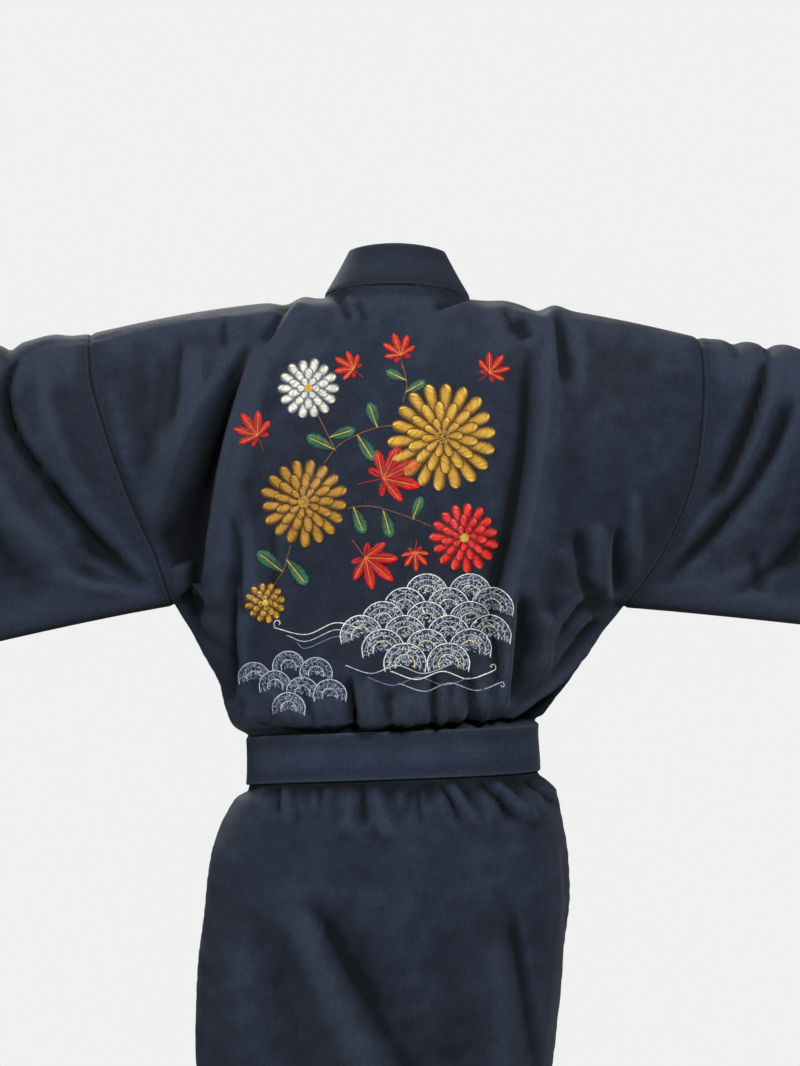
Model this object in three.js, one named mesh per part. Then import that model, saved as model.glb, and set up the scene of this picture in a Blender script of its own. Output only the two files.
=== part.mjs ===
// A short cotton robe of the happi kind, worn with its belt tied and both arms held out.
// Only the cloth is modelled, as hollow as it is on a wearer: every panel is a thin curved wall.
// Millimetres, +Z up, +X to the wearer's left, the front faces -Y.
// The origin is where the shoulders carry the robe, level with the two neck points.
import * as THREE from "three";

// Driving sizes
const CLOTH = 1.6; // wall of a single panel
const BAND = 2.6; // wall of the folded collar band
const SEAM_GAP = 0.3; // between two pieces where they are sewn
const SHARPEST_MITRE = 0.7; // cosine past which a mitre grows no longer
const NECK = {
  halfWidth: 76,
  depth: 70, // how far the back neckline lies behind the shoulder ridge
  rise: 8,
  fade: 3.2, // levels down to which the neckline shapes the back
};
const COLLAR = {
  width: 56,
  widening: 1.04, // across the front, where the band runs aslant
  sideLean: 0.48, // radians from upright beside the neck
  backLean: 0.64, // and behind it
  forward: 0.12,
  standing: 0.6, // the band begins to roll over at this level
  lying: 3.4, // and lies on the chest from this one
};
const LAP = {
  over: 3, // the left front's shift outwards where it lies over the right one
  under: 6, // the right front's shift inwards there
  starts: 1.6, // the levels between which the fronts part
  full: 3.6,
  side: 0.8, // the column past which they come back to the side seam
};
const CUFF = {
  reach: 690,
  topLeft: -87,
  topRight: -91,
  footLeft: -418,
  footRight: -370,
  slant: 22, // how much shorter the sleeve is along its foot
  fullness: 0.92, // its depth against the depth at the seam
  footFullness: 1.15,
  sag: 0.15,
};
const BELT = { height: 50, wall: 2.4, clear: 1, steps: 40 };
const KNOT = { x: -6, width: 46, height: 54, deep: 17, bevel: 5, taper: 0.78, swell: 1.25, crown: 3 };
const BELT_END = {
  width: 47,
  neck: 0.44, // how narrow it is where it leaves the knot
  opens: 0.2, // the share of its length over which it widens
  clear: 7, // from the skirt
  settles: 0.35,
  ripple: 1.2,
  steps: 9,
};

const BLACK = new THREE.Color(0.022, 0.025, 0.033);
const COAT_ROUGHNESS = 0.82;
const BELT_ROUGHNESS = 0.78;

// Turns rows of bare numbers into rows with named columns.
function table(columns, rows) {
  const names = columns.split(" ");
  return rows.map((row) => Object.fromEntries(names.map((name, i) => [name, row[i]])));
}

// The body from the shoulder ridge down to the hem, one row for each level.
// height, tilt and bow give z across a level; width and shift give its half width and middle.
// turn is 0 where the level runs on into the sleeves and 1 where it closes round the body.
// back and front are its depths in the middle, backHalf and frontHalf half way to the side seam,
// seam is the depth at the seam, which is the arm's own room down to the underarm,
// and edge is how far the left front's sewn edge lies from the middle.
const LEVELS = table("height tilt bow width shift turn back backHalf front frontHalf seam edge", [
  [0, 2, -41, 318, 3, 0, 0, 0, 0, 0, 0, 76],
  [-8, 1.5, -47, 318, 2, 0, 46, 36, 40, 33, 34, 76.5],
  [-40, 1.5, -48, 317, 0, 0, 82, 64, 63, 54, 48, 78],
  [-95, 1, -46, 309, -6, 0, 106, 88, 82, 72, 46, 74],
  [-160, 0, -40, 294, -11, 0, 116, 101, 98, 86, 39, 58],
  [-228, 0, -34, 268, -12, 0, 119, 104, 108, 94, 27, 36],
  [-296, 1, -29, 236, -2, 0.25, 119, 99, 112, 93, 0, 10],
  [-330, 0, -22, 217, 0, 0.6, 118, 93, 112, 88, 0, -4],
  [-362, 0, -15, 201, 2, 0.85, 118, 90, 112, 85, 0, -17],
  [-394, 0, -8, 185, 3, 1, 120, 92, 113, 86, 0, -30],
  [-424, -2, -3, 173, 8, 1, 123, 94, 116, 88, 0, -43],
  [-445, -4, 0, 162, 10, 1, 119, 90, 114, 86, 0, -52],
  [-453, -7, -2, 150, 5, 1, 98, 74, 100, 76, 0, -55],
  [-506, -7, -2, 151, 4, 1, 98, 74, 100, 76, 0, -64],
  [-524, -4, 0, 169, 2, 1, 107, 81, 105, 80, 0, -66],
  [-548, -2, 0, 178, 5, 1, 115, 87, 108, 82, 0, -68],
  [-590, 0, 0, 188, 8, 1, 123, 94, 111, 85, 0, -71],
  [-635, 0, 0, 191, 10, 1, 127, 98, 112, 87, 0, -74],
  [-700, 0, 0, 191, 18, 1, 127, 99, 113, 88, 0, -77],
  [-770, 0, 0, 189, 22, 1, 124, 98, 114, 89, 0, -80],
  [-840, 0, 0, 183, 25, 1, 121, 96, 115, 90, 0, -83],
  [-900, 0, 0, 179, 27, 1, 119, 95, 116, 91, 0, -85],
]);
const RIDGE_LEVEL = 0;
const UNDERARM_LEVEL = 6;
const BELT_TOP_LEVEL = 12;
const BELT_FOOT_LEVEL = 13;
const HEM_LEVEL = LEVELS.length - 1;
const DEPTH_COLUMNS = ["back", "backHalf", "front", "frontHalf", "seam"];

// Folds, as soft ridges (height above 0) and troughs (below 0) along a bent line from 1 by way of 2 to 3.
// wide1 and wide3 are half widths at the two ends, open is 1 where the far end doesn't fade.
const FOLD_COLUMNS = "x1 z1 x2 z2 x3 z3 wide1 wide3 height open";
const BACK_FOLDS = table(FOLD_COLUMNS, [
  [146, -40, 186, -150, 224, -316, 15, 24, -30, 1],
  [118, -20, 158, -140, 190, -325, 14, 22, 11, 1],
  [214, -50, 210, -108, 236, -225, 17, 20, 9, 0],
  [255, -60, 262, -130, 262, -225, 16, 18, -6, 0],
  [300, -80, 292, -160, 268, -245, 16, 18, 5, 0],
  [-126, -45, -128, -150, -98, -330, 15, 17, -18, 1],
  [-152, -45, -158, -160, -128, -330, 15, 19, 11, 1],
  [-178, -28, -176, -70, -172, -120, 14, 15, -7, 0],
  [-228, -215, -226, -270, -232, -320, 15, 17, -15, 1],
  [-182, -240, -186, -285, -200, -326, 14, 15, -9, 1],
  [-206, -230, -206, -280, -214, -320, 13, 14, 7, 1],
  [-122, -315, -124, -370, -108, -446, 14, 15, -15, 0],
  [-92, -310, -102, -370, -88, -448, 14, 15, 8, 0],
  [-215, -352, -172, -398, -116, -442, 14, 14, 10, 0],
  [-206, -382, -162, -416, -124, -448, 13, 13, -9, 0],
  [168, -345, 158, -405, 118, -446, 16, 15, -8, 0],
  [44, -370, 38, -415, 34, -452, 14, 14, -13, 0],
  [70, -370, 68, -415, 64, -452, 15, 15, 7, 0],
  [-42, -385, -46, -425, -40, -452, 14, 14, -12, 0],
  [-72, -385, -70, -422, -76, -452, 14, 14, -9, 0],
  [120, -506, 122, -530, 126, -566, 14, 15, -9, 0],
  [34, -506, 34, -530, 28, -572, 14, 16, -10, 0],
  [-50, -506, -60, -525, -72, -560, 14, 15, -8, 0],
  [-96, -506, -122, -525, -158, -556, 14, 15, -9, 0],
  [92, -600, 40, -695, -22, -820, 24, 30, -11, 0],
  [122, -640, 70, -740, 10, -870, 24, 30, 8, 0],
  [-120, -590, -140, -700, -128, -840, 26, 30, -9, 0],
  [150, -640, 160, -740, 150, -880, 26, 28, 7, 1],
]);
const FRONT_FOLDS = table(FOLD_COLUMNS, [
  [176, -40, 200, -150, 224, -316, 16, 23, -22, 1],
  [146, -30, 172, -150, 194, -322, 16, 22, 10, 1],
  [-176, -40, -200, -150, -226, -316, 16, 23, -22, 1],
  [-146, -30, -172, -150, -196, -322, 16, 22, 10, 1],
  [160, -120, 95, -280, 20, -440, 24, 18, 8, 0],
  [130, -150, 70, -290, 0, -445, 22, 17, -8, 0],
  [-160, -120, -120, -280, -95, -440, 24, 17, 8, 0],
  [206, -352, 165, -400, 112, -446, 15, 15, -9, 0],
  [-206, -352, -165, -400, -120, -446, 15, 15, -9, 0],
  [72, -385, 66, -420, 64, -452, 15, 15, -10, 0],
  [-34, -385, -32, -420, -30, -452, 15, 15, -9, 0],
  [84, -506, 86, -530, 92, -570, 15, 16, -10, 0],
  [28, -506, 26, -530, 20, -574, 15, 16, -10, 0],
  [-34, -506, -38, -530, -48, -570, 15, 16, -9, 0],
  [-106, -506, -112, -530, -124, -570, 15, 16, -9, 0],
  [120, -590, 90, -700, 60, -870, 26, 30, -10, 0],
  [150, -620, 130, -720, 110, -880, 26, 28, 7, 1],
]);
const SLEEVE_BACK_FOLDS = table(FOLD_COLUMNS, [
  [398, -56, 420, -170, 262, -308, 22, 24, -18, 0],
  [436, -70, 462, -210, 300, -326, 22, 24, 10, 0],
  [530, -80, 520, -190, 470, -340, 22, 26, -11, 0],
  [600, -90, 610, -210, 570, -370, 22, 26, 9, 0],
  [-386, -56, -366, -160, -292, -262, 21, 22, -18, 0],
  [-414, -66, -398, -170, -320, -290, 22, 23, 10, 0],
  [-352, -200, -310, -268, -256, -316, 20, 20, -12, 0],
  [-474, -90, -456, -190, -384, -326, 22, 25, -9, 0],
  [-510, -95, -500, -210, -440, -340, 22, 25, 9, 0],
  [-590, -95, -580, -210, -540, -350, 22, 26, -10, 0],
  [-640, -100, -638, -210, -606, -360, 22, 25, 8, 0],
]);
const SLEEVE_FRONT_FOLDS = table(FOLD_COLUMNS, [
  [395, -70, 385, -170, 275, -300, 22, 24, -15, 0],
  [440, -80, 440, -200, 340, -320, 22, 24, 9, 0],
  [520, -90, 505, -200, 440, -330, 22, 26, -10, 0],
  [600, -95, 600, -210, 560, -360, 22, 26, 9, 0],
  [-395, -70, -385, -170, -275, -300, 22, 24, -15, 0],
  [-440, -80, -440, -200, -340, -320, 22, 24, 9, 0],
  [-520, -90, -505, -200, -440, -330, 22, 26, -10, 0],
  [-600, -95, -600, -210, -560, -350, 22, 26, 9, 0],
]);

// Small steps of the cloth along the shoulder ridge.
const RIDGE_STEPS = table("across wide rise", [
  [118, 12, -4],
  [98, 10, 3],
  [-146, 12, -5],
  [-166, 12, 4],
  [-112, 12, 2],
]);

// How finely each piece is divided
const UPPER_ROWS = [0, 0.45, 0.95, 1.5, 2.05, 2.6, 3.2, 3.8, 4.4, 4.95, 5.45, 5.8, 6];
const LOWER_ROWS = [
  6.5, 7.1, 7.8, 8.5, 9.2, 9.9, 10.5, 11, 11.5, 12, 13, 13.4, 14, 14.8, 15.7, 16.7, 17.8, 19, 20.2, 21,
];
const ROWS = [...UPPER_ROWS, ...LOWER_ROWS];
const SHOULDER_STRIPS = 15;
const SHOULDER_CROWDING = 0.35; // how much narrower the strips are where the folds run
const NECK_STRIPS = 10;
const SLEEVE_STRIPS = 14;
const COLLAR_STRIPS = 2;
const FOLD_STEPS = 12;
const FOLD_FADE = 0.25; // share of a fold's length over which it rises and fades

const BACK = 1;
const FRONT = -1;
const LEFT = 1;
const RIGHT = -1;

const clamp01 = (t) => Math.min(1, Math.max(0, t));
const mix = (a, b, t) => a + (b - a) * t;
const ease = (t) => clamp01(t) ** 2 * (3 - 2 * clamp01(t));
const easeBetween = (low, high, t) => ease((t - low) / (high - low));

// Slope of a column at row i that never overshoots its neighbours.
function slopeAt(values, i, isDepth) {
  const before = i > 0 ? values[i] - values[i - 1] : isDepth ? values[1] - values[0] : 0;
  const after = i < values.length - 1 ? values[i + 1] - values[i] : before;
  return before * after > 0 ? (2 * before * after) / (before + after) : 0;
}

// A column of the level table at any level, whole or between two.
function columnAt(name, level) {
  const values = LEVELS.map((row) => row[name]);
  const i = Math.min(Math.floor(level), values.length - 2);
  const t = level - i;
  const isDepth = DEPTH_COLUMNS.includes(name);
  const [from, to] = [values[i], values[i + 1]];
  const [m0, m1] = [slopeAt(values, i, isDepth), slopeAt(values, i + 1, isDepth)];
  const t2 = t * t;
  const t3 = t2 * t;
  return (2 * t3 - 3 * t2 + 1) * from + (t3 - 2 * t2 + t) * m0 + (3 * t2 - 2 * t3) * to + (t3 - t2) * m1;
}

// The depth at the armhole seam closes like a rounded fold just above the underarm.
const LAST_ARM_LEVEL = UNDERARM_LEVEL - 1;
const SLEEVE_FOOT_POWER = 2.2;
function seamDepth(level) {
  if (level >= UNDERARM_LEVEL) return 0;
  if (level <= LAST_ARM_LEVEL) return columnAt("seam", level);
  return LEVELS[LAST_ARM_LEVEL].seam * Math.sqrt(1 - (level - LAST_ARM_LEVEL) ** SLEEVE_FOOT_POWER);
}

const levelCache = new Map();
function levelAt(level) {
  if (!levelCache.has(level)) {
    const row = {};
    for (const name of Object.keys(LEVELS[0])) row[name] = columnAt(name, level);
    row.seam = seamDepth(level);
    levelCache.set(level, row);
  }
  return levelCache.get(level);
}

// Height of one fold at a place seen from behind or from in front.
function foldHeight(fold, x, z) {
  let best = { d: Infinity, t: 0 };
  let [px, pz] = [fold.x1, fold.z1];
  for (let k = 1; k <= FOLD_STEPS; k++) {
    const t = k / FOLD_STEPS;
    const [u, v, w] = [(1 - t) ** 2, 2 * t * (1 - t), t * t];
    const nx = u * fold.x1 + v * fold.x2 + w * fold.x3;
    const nz = u * fold.z1 + v * fold.z2 + w * fold.z3;
    const [dx, dz] = [nx - px, nz - pz];
    const along = clamp01(((x - px) * dx + (z - pz) * dz) / (dx * dx + dz * dz));
    const d = Math.hypot(x - px - along * dx, z - pz - along * dz);
    if (d < best.d) best = { d, t: (k - 1 + along) / FOLD_STEPS };
    [px, pz] = [nx, nz];
  }
  const wide = mix(fold.wide1, fold.wide3, best.t);
  const fade = ease(best.t / FOLD_FADE) * (fold.open ? 1 : ease((1 - best.t) / FOLD_FADE));
  return fold.height * fade * Math.exp(-((best.d / wide) ** 2));
}

const foldsAt = (folds, x, z) => folds.reduce((sum, fold) => sum + foldHeight(fold, x, z), 0);

function ridgeStep(x) {
  return RIDGE_STEPS.reduce((sum, s) => sum + s.rise * Math.exp(-(((x - s.across) / s.wide) ** 2)), 0);
}

// The plain form of the body, without folds, at a column from -1 (right seam) to 1 (left seam).
function plainBody(face, column, level) {
  const row = levelAt(level);
  const q = column * column;
  const middle = (q - 0.25) * (q - 1) * 4;
  const half = -q * (q - 1) * (16 / 3);
  const edge = q * (q - 0.25) * (4 / 3);
  const deep = face === BACK ? row.back : row.front;
  const deepHalf = face === BACK ? row.backHalf : row.frontHalf;
  const point = new THREE.Vector3(
    row.shift + row.width * column * (1 + (row.turn / 2) * (1 - q)),
    face * (deep * middle + deepHalf * half + row.seam * edge),
    row.height + row.tilt * column + row.bow * q,
  );
  const nearRidge = 1 - easeBetween(0, 2, level);
  point.z += ridgeStep(point.x) * nearRidge;
  const acrossNeck = point.x / NECK.halfWidth;
  if (face === BACK && Math.abs(acrossNeck) < 1) {
    const nearNeck = clamp01(1 - level / NECK.fade) ** 2;
    const round = (1 - acrossNeck ** 2) ** mix(0.5, 1.5, easeBetween(0, 1, level));
    point.y += NECK.depth * round * nearNeck;
    point.z += NECK.rise * round * nearNeck;
  }
  return point;
}

// Direction straight out of the plain form.
const PROBE = 0.01;
function outwardAt(face, column, level) {
  const low = Math.max(level - PROBE, 0);
  const high = Math.min(level + PROBE, HEM_LEVEL);
  const inner = Math.max(column - PROBE, -1);
  const outer = Math.min(column + PROBE, 1);
  const down = plainBody(face, column, high).sub(plainBody(face, column, low));
  const across = plainBody(face, outer, level).sub(plainBody(face, inner, level));
  return across.cross(down).multiplyScalar(face).normalize();
}

// The cloth lies smooth at its seams, at the ridge and under the belt.
const SMOOTH = { sideSeam: 0.86, armSeam: 0.93, ridge: 1.2, aboveBelt: 11.2, belowBelt: 13.6 };
function foldRoom(column, level) {
  const belowArm = level > UNDERARM_LEVEL - 0.6;
  const atSide = 1 - easeBetween(belowArm ? SMOOTH.sideSeam : SMOOTH.armSeam, 1, Math.abs(column));
  const atRidge = easeBetween(0, SMOOTH.ridge, level);
  const overBelt = 1 - easeBetween(SMOOTH.aboveBelt, BELT_TOP_LEVEL, level);
  const underBelt = easeBetween(BELT_FOOT_LEVEL, SMOOTH.belowBelt, level);
  return atSide * atRidge * Math.max(overBelt, underBelt);
}

// The left front lies over the right one, and both come back to the side seams.
const lapFade = (column) => 1 - easeBetween(LAP.side, 1, column);
function lapShift(side, column, level) {
  const lap = side === LEFT ? LAP.over : -LAP.under;
  return lap * lapFade(column * side) * easeBetween(LAP.starts, LAP.full, level);
}

function bodyPoint(face, column, level, side = 0) {
  const point = plainBody(face, column, level);
  const folds = foldsAt(face === BACK ? BACK_FOLDS : FRONT_FOLDS, point.x, point.z);
  const shift = folds * foldRoom(column, level) + (side ? lapShift(side, column, level) : 0);
  return point.addScaledVector(outwardAt(face, column, level), shift);
}

// The column at which a level passes a given distance from the middle.
function columnFor(across, level) {
  const row = levelAt(level);
  let [low, high] = [-1, 1];
  for (let k = 0; k < 40; k++) {
    const c = (low + high) / 2;
    const x = row.shift + row.width * c * (1 + (row.turn / 2) * (1 - c * c));
    if (x < across) low = c;
    else high = c;
  }
  return (low + high) / 2;
}

// Each piece is laid as grid[i][j] over two lists of places, with the true surface in each cell's middle.
// A wrapped grid closes on itself, so its last place is its first.
function lay(us, vs, pointAt, wrap = false) {
  const middles = us.slice(1).map((u, i) =>
    vs.slice(1).map((v, j) => pointAt((us[i] + u) / 2, (vs[j] + v) / 2)));
  const places = wrap ? vs.slice(0, -1) : vs;
  return { grid: us.map((u) => places.map((v) => pointAt(u, v))), middles, wrap };
}

const range = (n) => Array.from({ length: n + 1 }, (_, i) => i / n);
const crowd = (u) => u + (SHOULDER_CROWDING * Math.sin(2 * Math.PI * u)) / (2 * Math.PI);
const shoulderSteps = range(SHOULDER_STRIPS).map(crowd);
const edgeColumn = (side, level) => columnFor(side * levelAt(level).edge, level);
const ridgeColumns = (side) => shoulderSteps.map((u) => mix(side, edgeColumn(side, RIDGE_LEVEL), u));
const neckColumns = range(NECK_STRIPS).map((u) =>
  columnFor(NECK.halfWidth * Math.cos(Math.PI * u), RIDGE_LEVEL));

function layBack() {
  const columns = [...ridgeColumns(LEFT), ...neckColumns.slice(1, -1), ...ridgeColumns(RIGHT).reverse()];
  return lay(columns, ROWS, (column, level) => bodyPoint(BACK, column, level));
}

function layFront(side) {
  return lay(shoulderSteps, ROWS, (u, level) =>
    bodyPoint(FRONT, mix(side, edgeColumn(side, level), u), level, side));
}

// The sleeve goes round from the ridge down its back, under and up its front.
const SLEEVE_TURN = 2 * UNDERARM_LEVEL;
function sleevePoint(side, s, turn) {
  const face = turn <= UNDERARM_LEVEL ? BACK : FRONT;
  const seam = bodyPoint(face, side, face === BACK ? turn : SLEEVE_TURN - turn);
  const top = levelAt(RIDGE_LEVEL).height + levelAt(RIDGE_LEVEL).bow + side * levelAt(RIDGE_LEVEL).tilt;
  const foot = bodyPoint(BACK, side, UNDERARM_LEVEL).z;
  const share = (top - seam.z) / (top - foot);
  const cuffTop = side === LEFT ? CUFF.topLeft : CUFF.topRight;
  const cuffFoot = side === LEFT ? CUFF.footLeft : CUFF.footRight;
  const x = side * (mix(Math.abs(seam.x), CUFF.reach, s) - CUFF.slant * share * s * s);
  const y = seam.y * mix(1, CUFF.fullness * mix(1, CUFF.footFullness, share), ease(s));
  const z = mix(seam.z, mix(cuffTop, cuffFoot, share), mix(s, ease(s), CUFF.sag));
  const room = easeBetween(0, 0.2, s) * (1 - 0.5 * easeBetween(0.9, 1, s))
    * easeBetween(0.02, 0.2, share) * (1 - easeBetween(0.85, 0.97, share));
  const folds = foldsAt(face === BACK ? SLEEVE_BACK_FOLDS : SLEEVE_FRONT_FOLDS, x, z);
  return new THREE.Vector3(x, y + face * folds * room, z);
}

function laySleeve(side) {
  const turns = [...UPPER_ROWS, ...UPPER_ROWS.slice(0, -1).reverse().map((level) => SLEEVE_TURN - level)];
  return lay(range(SLEEVE_STRIPS), turns, (s, turn) => sleevePoint(side, s, turn), true);
}

// The collar band: sewn edge first, free edge last, from the left hem round the neck to the right hem.
// In front it stands up beside the neck and rolls over to lie on the body.
// Behind the neck it stands and leans in.
function frontBandRow(side, level, sewn) {
  const lies = easeBetween(COLLAR.standing, COLLAR.lying, level);
  const lean = mix(COLLAR.sideLean, Math.PI / 2, lies);
  const up = new THREE.Vector3(-side * Math.sin(lean), -COLLAR.forward * lies, Math.cos(lean)).normalize();
  const widening = mix(1, COLLAR.widening, clamp01(level / BELT_TOP_LEVEL));
  return range(COLLAR_STRIPS).map((c) => {
    const standing = sewn.clone().addScaledVector(up, c * COLLAR.width);
    const across = levelAt(level).edge - c * COLLAR.width * widening;
    if (c === 0 || lies === 0) return standing;
    return standing.lerp(bodyPoint(FRONT, columnFor(side * across, level), level, side), lies);
  });
}

function neckBandRow(angle, sewn) {
  const lean = mix(COLLAR.sideLean, COLLAR.backLean, Math.sin(angle));
  const up = new THREE.Vector3(
    -Math.cos(angle) * Math.sin(lean),
    -Math.sin(angle) * Math.sin(lean),
    Math.cos(lean),
  );
  return range(COLLAR_STRIPS).map((c) => sewn.clone().addScaledVector(up, c * COLLAR.width));
}

function collarGrid(back, [leftFront, rightFront]) {
  const leftEdge = leftFront.at(-1);
  const rightEdge = rightFront.at(-1);
  const left = ROWS.map((level, j) => frontBandRow(LEFT, level, leftEdge[j])).reverse();
  const right = ROWS.map((level, j) => frontBandRow(RIGHT, level, rightEdge[j]));
  const neck = range(NECK_STRIPS).slice(1, -1).map((u, k) =>
    neckBandRow(Math.PI * u, back[SHOULDER_STRIPS + 1 + k][RIDGE_LEVEL]));
  return [...left, ...neck, ...right];
}

// The belt goes once round the waist.
function beltPoint(face, column, down) {
  const point = plainBody(face, column, mix(BELT_TOP_LEVEL, BELT_FOOT_LEVEL, down));
  const out = outwardAt(face, column, (BELT_TOP_LEVEL + BELT_FOOT_LEVEL) / 2).setZ(0).normalize();
  const overLap = face === FRONT ? LAP.over * lapFade(Math.abs(column)) : 0;
  point.addScaledVector(out, BELT.clear + BELT.wall + overLap);
  const middle = (plainBody(face, column, BELT_TOP_LEVEL).z + plainBody(face, column, BELT_FOOT_LEVEL).z) / 2;
  return point.setZ(middle + (0.5 - down) * BELT.height);
}

function beltGrid() {
  const halfWay = range(BELT.steps).slice(0, -1).map((u) => -Math.cos(Math.PI * u));
  const places = [...halfWay.map((c) => [BACK, c]), ...halfWay.map((c) => [FRONT, -c])];
  return [0, 1].map((down) => places.map(([face, c]) => beltPoint(face, c, down)));
}

// The knot lies on the belt in front, and the two ends hang from it over the skirt.
const knotSeat = () => beltPoint(FRONT, columnFor(KNOT.x, BELT_TOP_LEVEL), 0.5);

function knotGeometry() {
  const [w, h] = [KNOT.width / 2 - KNOT.bevel, KNOT.height / 2 - KNOT.bevel];
  const outline = new THREE.Shape();
  outline.moveTo(-w * KNOT.taper, -h);
  outline.quadraticCurveTo(0, -h - KNOT.crown, w * KNOT.taper, -h);
  outline.quadraticCurveTo(w * KNOT.swell, 0, w * KNOT.taper, h);
  outline.quadraticCurveTo(0, h + KNOT.crown, -w * KNOT.taper, h);
  outline.quadraticCurveTo(-w * KNOT.swell, 0, -w * KNOT.taper, -h);
  const geometry = new THREE.ExtrudeGeometry(outline, {
    depth: KNOT.deep - 2 * KNOT.bevel,
    bevelThickness: KNOT.bevel,
    bevelSize: KNOT.bevel,
    bevelSegments: 2,
    curveSegments: 5,
  });
  const seat = knotSeat();
  geometry.rotateX(Math.PI / 2);
  geometry.translate(KNOT.x, seat.y - SEAM_GAP - KNOT.bevel, seat.z);
  return geometry;
}

const ENDS = table("name x1 x2 length", [
  ["belt_end_left", 10, 44, 275],
  ["belt_end_right", -22, -58, 300],
]);

function beltEndGrid(end) {
  const top = knotSeat().z - KNOT.height / 2 - SEAM_GAP;
  const across = new THREE.Vector3(1, 0, (end.x2 - end.x1) / end.length).normalize();
  return [-0.5, 0, 0.5].map((w) => range(BELT_END.steps).map((t) => {
    const z = top - t * end.length;
    const below = LEVELS.findIndex((row) => row.height < z);
    const [upper, lower] = [LEVELS[below - 1], LEVELS[below]];
    const skirt = mix(upper.front, lower.front, (upper.height - z) / (upper.height - lower.height));
    const clear = mix(KNOT.deep * 0.6, BELT_END.clear, ease(t / BELT_END.settles));
    const out = skirt + LAP.over + clear + BELT_END.ripple * Math.sin(2 * Math.PI * t);
    const width = BELT_END.width * mix(BELT_END.neck, 1, ease(t / BELT_END.opens));
    return new THREE.Vector3(mix(end.x1, end.x2, t), -out, z).addScaledVector(across, w * width);
  }));
}

// Outward directions of a grid, from its neighbouring points.
function gridNormals(grid, wrap, outward) {
  const [ni, nj] = [grid.length, grid[0].length];
  const inside = (k, n) => Math.min(Math.max(k, 0), n - 1);
  const at = (i, j) => grid[inside(i, ni)][wrap ? (j + nj) % nj : inside(j, nj)];
  const normals = grid.map((line, i) => line.map((_, j) => {
    const a = at(i + 1, j).clone().sub(at(i - 1, j));
    const b = at(i, j + 1).clone().sub(at(i, j - 1));
    return a.cross(b).normalize();
  }));
  const [mi, mj] = [Math.floor(ni / 2), Math.floor(nj / 4)];
  const sign = Math.sign(normals[mi][mj].dot(outward(grid[mi][mj])));
  normals.forEach((line) => line.forEach((n) => n.multiplyScalar(sign)));
  return normals;
}

const keyOf = (p) => p.toArray().map((v) => Math.round(v * 50)).join();

// Pieces that share a seam leave it in the same direction and as far, so that their walls meet in a mitre.
function shareSeams(pieces) {
  const shared = new Map();
  for (const piece of pieces)
    piece.grid.forEach((line, i) => line.forEach((p, j) => {
      const key = keyOf(p);
      if (!shared.has(key)) shared.set(key, []);
      shared.get(key).push(piece.normals[i][j]);
    }));
  for (const piece of pieces)
    piece.inward = piece.grid.map((line) => line.map((p) => {
      const meeting = shared.get(keyOf(p));
      const joint = meeting.reduce((sum, n) => sum.add(n), new THREE.Vector3()).normalize();
      const least = Math.min(...meeting.map((n) => joint.dot(n)));
      return joint.divideScalar(-Math.max(SHARPEST_MITRE, least));
    }));
}

// Each edge is drawn back into its own piece, so that two pieces at a seam stay SEAM_GAP apart.
function drawBack(grid, wrap) {
  const [ni, nj] = [grid.length, grid[0].length];
  const moved = grid.map((line) => line.map((p) => p.clone()));
  const pull = (i, j, ti, tj) => {
    const step = grid[ti][tj].clone().sub(grid[i][j]);
    moved[i][j].addScaledVector(step, SEAM_GAP / 2 / Math.max(step.length(), SEAM_GAP));
  };
  for (let j = 0; j < nj; j++) {
    pull(0, j, 1, j);
    pull(ni - 1, j, ni - 2, j);
  }
  if (!wrap)
    for (let i = 0; i < ni; i++) {
      pull(i, 0, i, 1);
      pull(i, nj - 1, i, nj - 2);
    }
  return moved;
}

// A cell is split along the diagonal that runs nearer to the true surface.
function secondDiagonalFits([p0, p1, p2, p3], middle) {
  const first = p0.clone().add(p2).divideScalar(2);
  const second = p1.clone().add(p3).divideScalar(2);
  return second.distanceTo(middle) < first.distanceTo(middle);
}

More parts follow.
